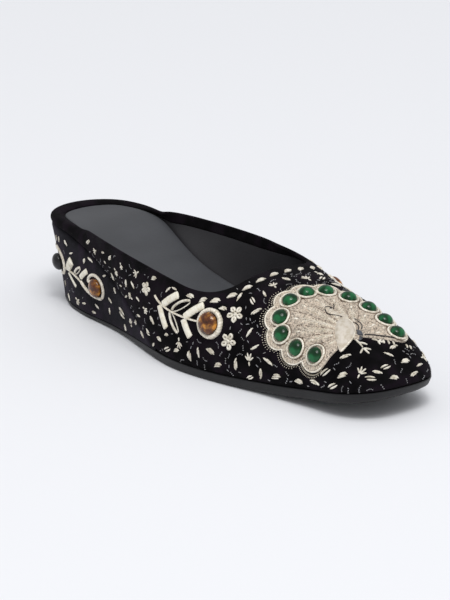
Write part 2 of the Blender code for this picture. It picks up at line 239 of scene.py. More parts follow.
def blunt(count: int, ends: float = 0.12) -> Numbers:
    """A fullness that is 1 but for rounded ends, each a share of the length."""
    share = even(count)
    near = np.minimum(np.minimum(share, 1.0 - share) / ends, 1.0)
    return np.sqrt(np.maximum(1.0 - (1.0 - near) ** 2, 0.0))


def spoke(angles: Numbers | float) -> Numbers:
    """Flat unit vectors at angles, (..., 2)."""
    return np.stack([np.cos(angles), np.sin(angles)], axis=-1)


def polar(flat: Numbers) -> tuple[Numbers, Numbers]:
    """Distance from the origin and angle, 0 to a whole turn, of flat points."""
    return np.linalg.norm(flat, axis=-1), np.mod(np.arctan2(flat[..., 1], flat[..., 0]), TURN)


def circle(count: int) -> Numbers:
    """Points round a unit circle, (count, 2)."""
    return spoke(np.linspace(0.0, TURN, count, endpoint=False))


def bowed(controls: list | tuple, count: int) -> Numbers:
    """A smooth line steered by control points.

    Each point is the sum of the controls weighted by Bernstein's polynomials.

    Args:
        controls: the line's ends and what it leans toward between them.
        count: how many points the line gets.

    Returns:
        The line's points, (count, 2).
    """
    line = np.repeat(np.asarray(controls, dtype=float)[:, None], count, axis=1)
    share = even(count)[:, None]
    while len(line) > 1:
        line = line[:-1] * (1.0 - share) + line[1:] * share
    return line[0]


def turned(line: Numbers, angle: Numbers | float) -> Numbers:
    """Flat points turned about the origin, one angle for all or one for each line."""
    angle = np.asarray(angle)[..., None]
    ahead, aside = line[..., 0], line[..., 1]
    return np.stack([ahead * np.cos(angle) - aside * np.sin(angle),
                     ahead * np.sin(angle) + aside * np.cos(angle)], axis=-1)


def cyclic_spline(knots: Numbers, period: float, values: Numbers, wanted: Numbers) -> Numbers:
    """A smooth closed curve through values.

    Each stretch is a cubic whose second differences agree with its neighbours',
    which one cyclic set of linear equations settles.

    Args:
        knots: distance round the curve of each value.
        period: the whole distance round.
        values: what the curve passes through, (knots, columns).
        wanted: distances to read the curve at.

    Returns:
        The curve's values, (wanted, columns).
    """
    count = len(knots)
    step = np.diff(np.r_[knots, knots[0] + period])
    before = np.roll(step, 1)
    index = np.arange(count)
    matrix = np.zeros((count, count))
    matrix[index, index] = 2.0 * (before + step)
    matrix[index, (index + 1) % count] += step
    matrix[index, (index - 1) % count] += before
    ahead = (np.roll(values, -1, axis=0) - values) / step[:, None]
    behind = (values - np.roll(values, 1, axis=0)) / before[:, None]
    bend = np.linalg.solve(matrix, 6.0 * (ahead - behind))
    low = np.searchsorted(knots, wanted, side="right") - 1
    high = (low + 1) % count
    width = step[low][:, None]
    done = (wanted - knots[low])[:, None]
    left = width - done
    curve = (bend[low] * left ** 3 + bend[high] * done ** 3) / (6.0 * width)
    curve += (values[low] / width - bend[low] * width / 6.0) * left
    curve += (values[high] / width - bend[high] * width / 6.0) * done
    return curve


def hermite(xs: Numbers, ys: Numbers, wanted: Numbers) -> Numbers:
    """A smooth line through the points (xs, ys), with a cubic between each two."""
    slopes = np.gradient(ys, xs)
    low = np.clip(np.searchsorted(xs, wanted, side="right") - 1, 0, len(xs) - 2)
    width = xs[low + 1] - xs[low]
    t = (wanted - xs[low]) / width
    start = (2 * t ** 3 - 3 * t ** 2 + 1) * ys[low]
    end = (3 * t ** 2 - 2 * t ** 3) * ys[low + 1]
    lean_in = (t ** 3 - 2 * t ** 2 + t) * width * slopes[low]
    lean_out = (t ** 3 - t ** 2) * width * slopes[low + 1]
    return start + end + lean_in + lean_out


def tuck(depth: Numbers, radius: float) -> Numbers:
    """How far a rounded edge stands in at a depth below it: a quarter circle."""
    left = np.clip(radius - depth, 0.0, radius)
    return radius - np.sqrt(np.maximum(radius ** 2 - left ** 2, 0.0))


# --- the last and the skins over it ---

class Section(NamedTuple):
    """What the last says at places round it."""

    plan: Numbers         # the feather line's point, (..., 2)
    top: Numbers          # the collar edge's point, (..., 3)
    rise: Numbers         # as in Station, each (..., 1)
    flare: Numbers
    reach: Numbers
    drop: Numbers
    out: Numbers          # the level way out, (..., 2)

    @property
    def along(self) -> Numbers:
        """Distance from the heel."""
        return self.plan[..., 0]


class Last:
    """The form that the shoe is built round."""

    def __init__(self) -> None:
        """Fit the closed curve through the stations and keep dense readings of it."""
        rows = np.array(STATIONS)
        steps = np.roll(rows[:, :2], -1, axis=0) - rows[:, :2]
        lengths = np.hypot(steps[:, 0], steps[:, 1])
        self.knots = np.r_[0.0, np.cumsum(lengths)[:-1]]
        self.period = float(lengths.sum())
        dense = np.linspace(0.0, self.period, TABLE_SIZE, endpoint=False)
        curve = cyclic_spline(self.knots, self.period, rows, dense)
        ahead = unit((np.roll(curve, -1, axis=0) - np.roll(curve, 1, axis=0))[:, :2])
        self.table = np.c_[curve, -ahead[:, 1], ahead[:, 0]]
        self.toe = int(curve[:, 0].argmax())
        levels = np.array(LEVELS)
        self.reach = np.linspace(levels[0, 0], levels[-1, 0], REACH_SIZE)
        self.layers = {name: hermite(levels[:, 0], levels[:, column], self.reach)
                       for column, name in enumerate(Level._fields)}

    def read(self, places: Numbers) -> Section:
        """The last's section at places round it, between its dense readings."""
        index = np.mod(places, self.period) / self.period * TABLE_SIZE
        low = np.floor(index).astype(int)
        part = (index - low)[..., None]
        near, far = self.table[low % TABLE_SIZE], self.table[(low + 1) % TABLE_SIZE]
        return Section(*np.split(near * (1.0 - part) + far * part, (2, 5, 6, 7, 8, 9), axis=-1))

    def layer(self, name: str, along: Numbers) -> Numbers:
        """A layer's height, a column of Level, at distances from the heel."""
        return np.interp(along, self.reach, self.layers[name])

    def columns(self, per_station: int) -> Numbers:
        """Places round the shoe, closer together where the stations are."""
        edges = np.r_[self.knots, self.period]
        index = np.arange(len(self.knots) * per_station) / per_station
        return np.interp(index, np.arange(len(edges)), edges)

    def paired(self, end: float, count: int, open_end: bool) -> Numbers:
        """Places in pairs, outer and inner side, at shared distances from the heel.

        Distances are spaced by a cosine, closer together at a rounded end.

        Args:
            end: the furthest distance.
            count: how many distances.
            open_end: whether the far end is a straight cut, so evenly spaced.

        Returns:
            Outer places from the far end to the heel, then inner places back.
        """
        wave = np.linspace(0.0, np.pi / 2 if open_end else np.pi, count)
        share = (1.0 - np.cos(wave)) / (1.0 if open_end else 2.0)
        share = 0.8 * share + 0.2 * even(count)
        along = share * end
        places = np.arange(TABLE_SIZE + 1) * self.period / TABLE_SIZE
        outline = np.r_[self.table[:, 0], self.table[:1, 0]]
        outer = np.interp(along, outline[:self.toe + 1], places[:self.toe + 1])
        inner = np.interp(along, outline[self.toe:][::-1], places[self.toe:][::-1])
        return np.r_[outer[::-1], inner[1:]]


@dataclass
class Skin(ABC):
    """A face of the shoe that threads lie on, read at spots (..., 2)."""

    last: Last
    coarse = (420, 49)        # places and shares that a search tries first
    margin = 0.015            # share of the face that a walk keeps off its edges
    stride = 2.0              # of the walks that lay down a drawing
    most_strides = 14

    @abstractmethod
    def at(self, spots: Numbers) -> Numbers:
        """Points of the face in shoe millimetres, (..., 3)."""

    def read(self, spots: Numbers) -> tuple[Numbers, Numbers, Numbers, Numbers]:
        """Points with the face's two slopes and the unit vector out of it.

        The slopes are differences over a small step each way, and the way out is
        the slope up crossed with the slope round.

        Args:
            spots: places round and shares up, (..., 2).

        Returns:
            Points, slope per place, slope per share and ways out, each (..., 3).
        """
        around, up = [(self.at(spots + step) - self.at(spots - step)) / (2.0 * step.sum())
                      for step in (ROUND_STEP, UP_STEP)]
        return self.at(spots), around, up, unit(np.cross(up, around))

    @staticmethod
    def change(around: Numbers, up: Numbers, step: Numbers) -> Numbers:
        """The change of spot that best makes a step, by least squares on the slopes."""
        aa, ab, bb = dots(around, around), dots(around, up), dots(up, up)
        pa, pb = dots(around, step), dots(up, step)
        scale = np.maximum(aa * bb - ab ** 2, 1e-9)
        return np.concatenate([pa * bb - pb * ab, pb * aa - pa * ab], axis=-1) / scale

    def find(self, points: Numbers) -> Numbers:
        """The spots nearest to points: best of a coarse grid, then a few slope steps."""
        places = np.linspace(0.0, self.last.period, self.coarse[0], endpoint=False)
        grid = pairs(places, np.linspace(0.02, 0.98, self.coarse[1])).reshape(-1, 2)
        away = np.linalg.norm(self.at(grid)[None] - points[:, None], axis=2)
        spots = grid[away.argmin(axis=1)]
        for _ in range(6):
            here, around, up, _ = self.read(spots)
            spots = spots + self.change(around, up, points - here)
            spots[..., 1] = spots[..., 1].clip(0.0, 1.0)
        return spots

    def trail(self, spots: Numbers, heading: Numbers, stride: Numbers, count: int) -> Numbers:
        """Walk straight over the face.

        Each step lays the heading flat on the face again and moves by the stride.

        Args:
            spots: where each walk starts, (n, 2).
            heading: its direction, (n, 3).
            stride: length of a step, (n, 1) or one number.
            count: number of steps.

        Returns:
            The spots passed, (count + 1, n, 2).
        """
        passed = [spots]
        for _ in range(count):
            _, around, up, out = self.read(spots)
            heading = level(heading, out)
            spots = spots + self.change(around, up, heading * stride)
            spots[..., 1] = spots[..., 1].clip(self.margin, 1.0 - self.margin)
            passed.append(spots)
        return np.stack(passed)

    def stamp(self, seats: Numbers, ahead: Numbers, drawing: Numbers) -> Numbers:
        """Lay a flat drawing on the face at each seat.

        Args:
            seats: spots of the drawing's origin, (n, 2).
            ahead: direction of the drawing's first axis, (n, 3); its second axis
                is to the left, seen from outside.
            drawing: flat lines in millimetres, (lines, points, 2) or one set for
                each seat, (n, lines, points, 2).

        Returns:
            Lines of spots, (n * lines, points, 2).
        """
        drawing = np.broadcast_to(drawing, (len(seats), *drawing.shape[-3:]))
        out = self.read(seats)[3]
        ahead = level(ahead, out)
        aside = np.cross(ahead, out)
        far = np.linalg.norm(drawing, axis=-1, keepdims=True)
        way = drawing / np.maximum(far, 1e-9)
        heading = way[..., :1] * ahead[:, None, None] + way[..., 1:] * aside[:, None, None]
        start = np.broadcast_to(seats[:, None, None], drawing.shape).reshape(-1, 2)
        count = int(np.clip(np.ceil(far.max() / self.stride), 1, self.most_strides))
        spots = self.trail(start, heading.reshape(-1, 3), far.reshape(-1, 1) / count, count)[-1]
        return spots.reshape(-1, drawing.shape[2], 2)

    def headings(self, spots: Numbers, angles: Numbers) -> Numbers:
        """Directions on the face at angles from the way to the toe, anticlockwise."""
        out = self.read(spots)[3]
        ahead = level(TOEWARD, out)
        return ahead * np.cos(angles)[:, None] + np.cross(ahead, out) * np.sin(angles)[:, None]

    def below_edge(self, places: Numbers, distance: float) -> Numbers:
        """Spots at a distance down the wall from its top edge, read off its length."""
        shares = np.linspace(1.0, 0.0, 90)
        run = run_along(self.at(pairs(places, shares)))
        past = np.clip((run < distance).sum(axis=1), 1, len(shares) - 1)
        row = np.arange(len(places))
        part = (distance - run[row, past - 1]) / (run[row, past] - run[row, past - 1])
        share = shares[past - 1] + (shares[past] - shares[past - 1]) * part.clip(0.0, 1.0)
        return np.c_[places, share]


class WallSkin(Skin):
    """The upper's outer face, from the feather line to the collar edge."""

    def at(self, spots: Numbers) -> Numbers:
        """A cubic Bezier curve up the wall, its four controls read from the last."""
        row = self.last.read(spots[..., 0])
        t = spots[..., 1:]
        foot = np.concatenate([row.plan, self.last.layer("feather", row.along)[..., None]], axis=-1)
        first = foot + np.concatenate([row.out * row.flare, row.rise], axis=-1)
        back = (foot - row.top)[..., :2] * row.reach
        second = row.top + np.concatenate([back, row.drop], axis=-1)
        curve = foot * (1 - t) ** 3 + 3 * first * t * (1 - t) ** 2
        return curve + 3 * second * t ** 2 * (1 - t) + row.top * t ** 3


class BlockSkin(Skin):
    """The wedge's side, from the outsole up to the feather line, slightly hollow."""

    hollow = 1.25

    def at(self, spots: Numbers) -> Numbers:
        """Straight in height, and in plan the share to a power between the outlines."""
        row = self.last.read(spots[..., 0])
        share = spots[..., 1:].clip(0.0, 1.0)
        low = row.plan - row.out * self.last.layer("base_inset", row.along)[..., None]
        bottom = self.last.layer("sole", low[..., 0]) + GAP
        top = self.last.layer("feather", row.along) - GAP
        plan = low + (row.plan - low) * share ** self.hollow
        height = bottom + (top - bottom) * share[..., 0]
        return np.concatenate([plan, height[..., None]], axis=-1)


# --- finishes ---

class Recipe:
    """A material while it is mixed: nodes, links and the shader's own constants."""

    def __init__(self, name: str, constants: dict[str, float | tuple]) -> None:
        """Start a material and set the constants on its shader's sockets."""
        self.material = bpy.data.materials.new(name)
        self.material.use_nodes = True
        self.tree = self.material.node_tree
        self.shader = self.tree.nodes["Principled BSDF"]
        self.feed(self.shader, constants)
        self.coordinates = self.tree.nodes.new("ShaderNodeTexCoord")

    def feed(self, node: bpy.types.Node, inputs: dict[str, object]) -> None:
        """Set a node's inputs by name, by a link where the value is a socket."""
        for name, value in inputs.items():
            if isinstance(value, Socket):
                self.tree.links.new(value, node.inputs[name])
            else:
                node.inputs[name].default_value = value

    def add(self, kind: str, output: str, inputs: dict[str, object]) -> Socket:
        """Add a node of a kind and return one of its outputs."""
        node = self.tree.nodes.new("ShaderNode" + kind)
        self.feed(node, inputs)
        return node.outputs[output]

    def noise(self, scale: float, detail: float = 2.0, stretch: tuple = (1.0, 1.0, 1.0),
              source: str = "Object") -> Socket:
        """Cloudy noise over the piece, its grain one over scale in the map's unit."""
        place = self.add("Mapping", "Vector", {"Vector": self.coordinates.outputs[source],
                                               "Scale": stretch})
        return self.add("TexNoise", "Fac", {"Vector": place, "Scale": scale, "Detail": detail})

    def cells(self, scale: float, output: str = "Distance") -> Socket:
        """Cells packed over the piece, one over scale wide in metres."""
        place = self.coordinates.outputs["Object"]
        return self.add("TexVoronoi", output, {"Vector": place, "Scale": scale})

    def stripes(self, pitch: float, slant: float, wobble: float) -> Socket:
        """Soft stripes on the piece's own map, a pitch apart in millimetres, turned by slant."""
        place = self.add("Mapping", "Vector", {"Vector": self.coordinates.outputs["UV"],
                                               "Rotation": (0.0, 0.0, slant)})
        scale = TURN / (20.0 * pitch)
        return self.add("TexWave", "Fac", {"Vector": place, "Scale": scale,
                                           "Distortion": wobble, "Detail Scale": 1.5})

    def blend(self, factor: Socket, stops: list[tuple[float, tuple]]) -> Socket:
        """Colours blended along a factor, each stop a position and a colour."""
        node = self.tree.nodes.new("ShaderNodeValToRGB")
        ramp = node.color_ramp
        while len(ramp.elements) < len(stops):
            ramp.elements.new(0.5)
        for element, (position, colour) in zip(ramp.elements, stops):
            element.position = position
            element.color = (*colour, 1.0)
        self.feed(node, {"Fac": factor})
        return node.outputs["Color"]

    def tones(self, factor: Socket, colour: tuple, *stops: tuple[float, float]) -> Socket:
        """One colour made lighter or darker along a factor, each stop a position and a tone."""
        return self.blend(factor, [(position, shade(colour, tone)) for position, tone in stops])

    def varied(self, factor: Socket, value: float, low: float, high: float) -> Socket:
        """A value that goes from low to high times itself along a factor."""
        return self.add("MapRange", "Result", {"Value": factor, "To Min": value * low,
                                               "To Max": value * high})

    def times(self, one: Socket, other: Socket) -> Socket:
        """One colour multiplied by another."""
        node = self.tree.nodes.new("ShaderNodeMix")
        node.data_type, node.blend_type = "RGBA", "MULTIPLY"
        node.inputs["Factor"].default_value = 1.0
        self.tree.links.new(one, node.inputs[6])
        self.tree.links.new(other, node.inputs[7])
        return node.outputs[2]

    def relief(self, *layers: tuple[Socket, float, float]) -> Socket:
        """Bumped normals laid over each other: a height, its depth in millimetres and strength."""
        inputs: dict[str, object] = {}
        for height, depth, strength in layers:
            inputs |= {"Height": height, "Distance": depth * MM, "Strength": strength}
            inputs["Normal"] = self.add("Bump", "Normal", inputs)
        return inputs["Normal"]

    def finish(self, colour: Socket, relief: Socket | None = None,
               roughness: Socket | None = None) -> bpy.types.Material:
        """Link what is patterned to the shader and hand the material over."""
        inputs = {"Base Color": colour, "Normal": relief, "Roughness": roughness}
        self.feed(self.shader, {name: socket for name, socket in inputs.items() if socket})
        return self.material


def shade(colour: tuple, factor: float) -> tuple:
    """A colour made lighter or darker by a factor."""
    return tuple(min(part * factor, 1.0) for part in colour)


@dataclass(frozen=True)
class Finish(ABC):
    """What every finish has: a name, a colour and how dull it is."""

    name: str
    colour: tuple
    roughness: float

    def material(self) -> bpy.types.Material:
        """The finish's material, mixed once."""
        return bpy.data.materials.get(self.name) or self.mix()

    @abstractmethod
    def mix(self) -> bpy.types.Material:
        """Mix the material."""


@dataclass(frozen=True)
class VelvetFinish(Finish):
    """Short silk pile: near black, with a bloom where it is seen edge on."""

    bloom: tuple
    sheen: float

    def mix(self) -> bpy.types.Material:
        """Crushed patches in the colour, pile tips and stroked streaks in the relief."""
        made = Recipe(self.name, {"Roughness": self.roughness, "Specular IOR Level": 0.05,
                                  "Sheen Weight": self.sheen, "Sheen Roughness": 0.42,
                                  "Sheen Tint": (*self.bloom, 1.0)})
        crushed = made.noise(85.0, 4.0)
        stroked = made.noise(900.0, 2.0, (1.0, 0.35, 1.0))
        pile = made.noise(4200.0)
        plum = tuple(part * share for part, share in zip(self.colour, (1.9, 1.4, 1.9)))
        colour = made.blend(crushed, [(0.34, shade(self.colour, 0.5)), (0.47, self.colour),
                                      (0.57, plum), (0.70, shade(self.colour, 2.2))])
        nap = made.relief((crushed, 0.9, 0.5), (stroked, 0.16, 0.6), (pile, 0.10, 0.8))
        return made.finish(colour, nap)


@dataclass(frozen=True)
class LeatherFinish(Finish):
    """Smooth dyed leather: fine pebbled grain, soft mottling and a few creases."""

    grain: float = 1500.0
    depth: float = 0.05
    specular: float = 0.35

    def mix(self) -> bpy.types.Material:
        """Grain cells and pores in the relief, and mottling in colour and gloss."""
        made = Recipe(self.name, {"Specular IOR Level": self.specular})
        mottle = made.noise(55.0, 5.0)
        pores = made.noise(self.grain * 1.4, 3.0)
        colour = made.tones(mottle, self.colour, (0.25, 0.86), (0.75, 1.13))
        hide = made.relief((made.noise(16.0, 3.0), 0.9, 0.25),
                           (made.cells(self.grain), self.depth, 0.7), (pores, self.depth, 0.5))
        return made.finish(colour, hide, made.varied(mottle, self.roughness, 0.9, 1.1))


@dataclass(frozen=True)
class SoleFinish(Finish):
    """Painted sole leather: pressed layers along its edge and small scuffs."""

    def mix(self) -> bpy.types.Material:
        """Level layers from noise drawn thin in height, and scuffs from stretched noise."""
        made = Recipe(self.name, {"Specular IOR Level": 0.26})
        layers = made.noise(60.0, 4.0, (1.0, 1.0, 26.0))
        scuffs = made.noise(260.0, 4.0, (1.0, 0.25, 1.0))
        colour = made.tones(layers, self.colour, (0.30, 0.82), (0.70, 1.20))
        edge = made.relief((scuffs, 0.10, 0.4), (layers, 0.16, 0.5))
        return made.finish(colour, edge, made.varied(scuffs, self.roughness, 0.8, 1.2))


@dataclass(frozen=True)
class ThreadFinish(Finish):
    """Thread laid side by side or plied: stripes on the piece's own map."""

    pitch: float = 0.4            # between threads, in millimetres
    slant: float = 0.5            # of the threads, in radians
    depth: float = 0.10
    metallic: float = 0.0
    shadow: float = 0.45          # how dark it is between threads
    patch_tone: float = 0.66            # how dark its random duller patches are

    def mix(self) -> bpy.types.Material:
        """Stripes darken the gaps between threads and raise their backs."""
        made = Recipe(self.name, {"Metallic": self.metallic, "Sheen Weight": 0.15,
                                  "Specular IOR Level": 0.5})
        threads = made.stripes(self.pitch, self.slant, 0.6)
        dull_patches = made.noise(420.0, 3.0)
        line = made.tones(threads, self.colour, (0.0, self.shadow), (0.45, 0.92), (1.0, 1.0))
        dull = shade((1.0, 0.955, 0.864), self.patch_tone)
        tone = made.blend(dull_patches, [(0.34, dull), (0.58, (1.0, 1.0, 1.0))])
        return made.finish(made.times(line, tone), made.relief((threads, self.depth, 1.0)),
                           made.varied(dull_patches, self.roughness, 1.2, 0.8))


@dataclass(frozen=True)
class PurlFinish(Finish):
    """Ground packed with chips of coiled wire: cells of mixed tone, part metal."""

    cell: float = 1500.0
    depth: float = 0.28

    def mix(self) -> bpy.types.Material:
        """Each cell has its own tone and a raised middle, with dark gaps round it."""
        made = Recipe(self.name, {"Metallic": 0.12, "Specular IOR Level": 0.5})
        tone = made.cells(self.cell, "Color")
        gap = made.cells(self.cell)
        colour = made.tones(tone, self.colour, (0.12, 0.40), (0.36, 0.90), (0.85, 1.32))
        chips = made.relief((made.noise(2600.0), 0.10, 0.6), (gap, -self.depth, 1.0))
        return made.finish(colour, chips, made.varied(gap, self.roughness, 0.8, 1.3))


class Cut(Enum):
    """How the colour of a domed stone runs: the scale and detail of its clouds."""

    CLOUDED = (0.20, 1.0)         # soft clouds, a little lighter or darker
    MOTTLED = (0.27, 4.0)         # glowing patches in the dark


@dataclass(frozen=True)
class StoneFinish(Finish):
    """A polished dome: clouded glass or mottled stone under a clear gloss."""

    glow: tuple                   # colour of its lighter parts
    cut: Cut = Cut.CLOUDED
    gloss: float = 0.34           # of the clear coat

    def mix(self) -> bpy.types.Material:
        """Colour runs through clouds on the stone's own map, wide or in patches."""
        made = Recipe(self.name, {"Roughness": self.roughness, "Coat Roughness": 0.05,
                                  "Coat Weight": self.gloss,
                                  "Specular IOR Level": 0.4 * self.gloss})
        clouds = made.noise(*self.cut.value, source="UV")
        if self.cut is Cut.MOTTLED:
            colour = made.blend(clouds, [(0.36, shade(self.colour, 0.30)), (0.50, self.colour),
                                         (0.58, shade(self.glow, 0.4)), (0.67, self.glow)])
        else:
            colour = made.blend(clouds, [(0.34, shade(self.colour, 0.5)), (0.50, self.colour),
                                         (0.64, self.glow)])
        return made.finish(colour, made.relief((clouds, 0.03, 0.25)))


VELVET = VelvetFinish("black_velvet", (0.0040, 0.0035, 0.0042), 0.90, (0.68, 0.65, 0.76), 0.02)
# the wedge's velvet is the black velvet with its base colour painted about twice as light: painted
# sheen for the light that the wedge's side catches
HEEL_VELVET_PAINTED_SHEEN = VelvetFinish("heel_velvet_painted_sheen", (0.0076, 0.0070, 0.0088), 0.90, (0.66, 0.65, 0.78), 0.11)
SOCK = LeatherFinish("grey_sock_leather", (0.050, 0.052, 0.058), 0.50)
LINING = LeatherFinish("dark_lining_leather", (0.028, 0.027, 0.030), 0.45, 1300.0)
SOLE = SoleFinish("painted_sole_leather", (0.0130, 0.0128, 0.0138), 0.46)
IVORY = ThreadFinish("ivory_silk", (1.0, 0.945, 0.82), 0.45, 0.36, 0.55, 0.07, 0.0, 0.68, 0.62)
LEAF = ThreadFinish("leaf_silk", (1.0, 0.955, 0.82), 0.42, 0.36, 0.55, 0.06, 0.0, 0.84, 0.86)
CREAM_CORD = ThreadFinish("cream_cord", (0.93, 0.85, 0.69), 0.40, 0.8, 0.9, 0.08, 0.10, 0.62)
PALE_SATIN = ThreadFinish("pale_satin", (0.95, 0.885, 0.76), 0.35, 0.5, 1.2, 0.05, 0.05, 0.80)
PLUME = ThreadFinish("plume_satin", (0.70, 0.635, 0.545), 0.40, 0.36, 0.3, 0.05, 0.0, 0.84, 0.80)
SMOKE = ThreadFinish("smoke_thread", (0.36, 0.36, 0.38), 0.35, 0.5, 0.7, 0.06, 0.2)
INK = ThreadFinish("ink_thread", (0.016, 0.010, 0.008), 0.45, 0.5, 0.7, 0.06)
UMBER = ThreadFinish("umber_thread", (0.20, 0.12, 0.07), 0.45, 0.5, 0.7, 0.06)
SLATE = ThreadFinish("slate_thread", (0.10, 0.11, 0.14), 0.40, 0.45, 0.6, 0.08, 0.2)
PURL = PurlFinish("champagne_purl", (0.60, 0.515, 0.42), 0.42)
GREEN = StoneFinish("green_glass", (0.003, 0.040, 0.011), 0.18, (0.009, 0.118, 0.038))
TIGER = StoneFinish("mottled_brown_stone", (0.11, 0.030, 0.008), 0.12, (0.66, 0.27, 0.04),
                    Cut.MOTTLED, 0.5)
PEWTER = StoneFinish("dark_pearl", (0.016, 0.016, 0.018), 0.25, (0.04, 0.04, 0.045))


# --- shells and pieces ---

@dataclass
class Shell:
    """A closed surface, or many: points, four corners a face, and their map places."""

    points: Numbers
    faces: Numbers
    marks: Numbers

    @classmethod
    def woven(cls, points: Numbers, run: Numbers | None = None, loop_rows: bool = False,
              loop_sides: bool = True) -> "Shell":
        """Faces over equal grids of points.

        Args:
            points: (grids, rows, sides, 3).
            run: map place along the rows, (grids, rows), one longer for a loop.
            loop_rows: whether the last row joins the first.
            loop_sides: whether the last side joins the first.

        Returns:
            The shell; its map's second place is the share round the sides.
        """
        grids, rows, sides = points.shape[:3]
        if run is None:
            run = np.broadcast_to(even(rows + loop_rows), (grids, rows + loop_rows))
        row, side = np.meshgrid(np.arange(rows - (not loop_rows)),
                                np.arange(sides - (not loop_sides)), indexing="ij")
        row_of = np.stack([row.ravel() + step for step in (0, 0, 1, 1)], axis=1)
        side_of = np.stack([side.ravel() + step for step in (0, 1, 1, 0)], axis=1)
        one = (row_of % rows) * sides + side_of % sides
        faces = one[None] + (np.arange(grids) * rows * sides)[:, None, None]
        spread = sides if loop_sides else sides - 1
        across = np.broadcast_to(side_of / spread, (grids, *side_of.shape))
        marks = np.stack([run[:, row_of], across], axis=-1)
        return cls(points.reshape(-1, 3), faces.reshape(-1, 4), marks.reshape(-1, 4, 2))

    @classmethod
    def joined(cls, shells: list["Shell"]) -> "Shell":
        """Several shells as one."""
        starts = np.cumsum([0] + [len(shell.points) for shell in shells[:-1]])
        return cls(np.concatenate([shell.points for shell in shells]),
                   np.concatenate([shell.faces + start for shell, start in zip(shells, starts)]),
                   np.concatenate([shell.marks for shell in shells]))


@dataclass(frozen=True)
class Gauge:
    """How thick a laid thread is, in millimetres, and how it is plied."""

    width: float              # half its width
    rise: float               # its height above where it lies
    sides: int = 6
    plies: int = 0
    pitch: float = 1.0        # of the ply, along the thread
    bite: float = 0.16        # how deep the ply's grooves are, as a share


def lay(skin: Skin, lines: Numbers, gauge: Gauge, fullness: Numbers | float = 1.0,
        loop: bool = False, lift: Numbers | float = 0.0) -> Shell:
    """Raise round-backed threads along lines on a skin.

    Each cross-section is an ellipse, flatter below, whose two axes lie across the
    line and out of the skin; plies ripple it as a wave that turns along the line.

    Args:
        skin: the face that the lines lie on.
        lines: spots, (lines, points, 2).
        gauge: thickness and ply.
        fullness: factor on the thickness along the lines, 0 where one ends.
        loop: whether each line joins its own start.
        lift: height of the line above the skin.

    Returns:
        The threads as one shell, mapped by millimetres along and share round.
    """
    points, _, _, out = skin.read(lines)
    if loop:
        ahead = np.roll(points, -1, axis=1) - np.roll(points, 1, axis=1)
        run = run_along(np.concatenate([points, points[:, :1]], axis=1))
    else:
        ahead = np.gradient(points, axis=1)
        run = run_along(points)
    across = unit(np.cross(unit(ahead), out))
    full = np.broadcast_to(fullness, lines.shape[:2])[..., None]
    turn = np.linspace(0.0, TURN, gauge.sides, endpoint=False)
    length = run[:, -1:]
    cycles = np.maximum(np.round(length / gauge.pitch), 1.0)
    phase = gauge.plies * turn - (TURN * cycles * run / length)[:, :lines.shape[1], None]
    full = full * (1.0 + (gauge.bite * np.cos(phase) if gauge.plies else 0.0))
    wide = gauge.width * full * np.cos(turn)
    back = np.where(np.sin(turn) > 0.0, np.sin(turn), 0.5 * np.sin(turn))
    high = gauge.rise * full * back + np.broadcast_to(lift, lines.shape[:2])[..., None]
    rings = points[:, :, None] + across[:, :, None] * wide[..., None]
    return Shell.woven(rings + out[:, :, None] * high[..., None], run, loop_rows=loop)


def put(name: str, data: bpy.types.ID) -> bpy.types.Object:
    """A new object in the scene."""
    item = bpy.data.objects.new(name, data)
    bpy.context.scene.collection.objects.link(item)
    return item


class Bench:
    """Where shells become pieces of the shoe, in metres and riding on the frame."""

    def __init__(self, wall: WallSkin) -> None:
        """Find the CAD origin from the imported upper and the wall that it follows."""
        spots = pairs(wall.last.columns(3), np.sin(even(11) * np.pi / 2.0) ** 1.3)
        low = wall.at(spots).reshape(-1, 3).min(axis=0)
        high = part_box("upper")[1]
        self.middle = (low[0] + high.y / MM, low[1] + high.x / MM)
        self.count = 0

    def to_world(self, points: Numbers) -> Numbers:
        """Shoe millimetres to metres in the frame."""
        along, across = self.middle
        return np.c_[across - points[:, 1], along - points[:, 0], points[:, 2]] * MM

    def make(self, name: str, shell: Shell, finish: Finish, slot: str,
             replaced: tuple[str, ...] = (), crease: float | None = None) -> None:
        """Put a shell into a mesh, close its tips, turn it outward and dress it.

        Args:
            name: the piece's name.
            shell: its surface.
            finish: what it is dressed in.
            slot: the record's material slot; not used.
            replaced: CAD nodes that it stands for.
            crease: angle in radians past which an edge is sharp, if any.
        """
        mesh = bpy.data.meshes.new(name)
        mesh.vertices.add(len(shell.points))
        mesh.vertices.foreach_set("co", self.to_world(shell.points).ravel())
        mesh.loops.add(shell.faces.size)
        mesh.loops.foreach_set("vertex_index", shell.faces.ravel())
        mesh.polygons.add(len(shell.faces))
        mesh.polygons.foreach_set("loop_start", np.arange(0, shell.faces.size, 4))
        mesh.uv_layers.new(name="UVMap").data.foreach_set("uv", shell.marks.ravel())
        mesh.update(calc_edges=True)
        shape = bmesh.new()
        shape.from_mesh(mesh)
        bmesh.ops.remove_doubles(shape, verts=shape.verts, dist=WELD)
        bmesh.ops.recalc_face_normals(shape, faces=shape.faces)
        shape.to_mesh(mesh)
        shape.free()
        mesh.shade_smooth()
        if crease is not None:
            mesh.set_sharp_from_angle(angle=crease)
        mesh.materials.append(finish.material())
        piece = put(name, mesh)
        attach(piece, BODY)
        if replaced:
            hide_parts(*replaced)
        triangles = sum(len(face.vertices) - 2 for face in mesh.polygons)
        self.count += triangles
        LOG.info("%-22s %7d triangles, %s", name, triangles, finish.name)


# --- the shoe's main form ---

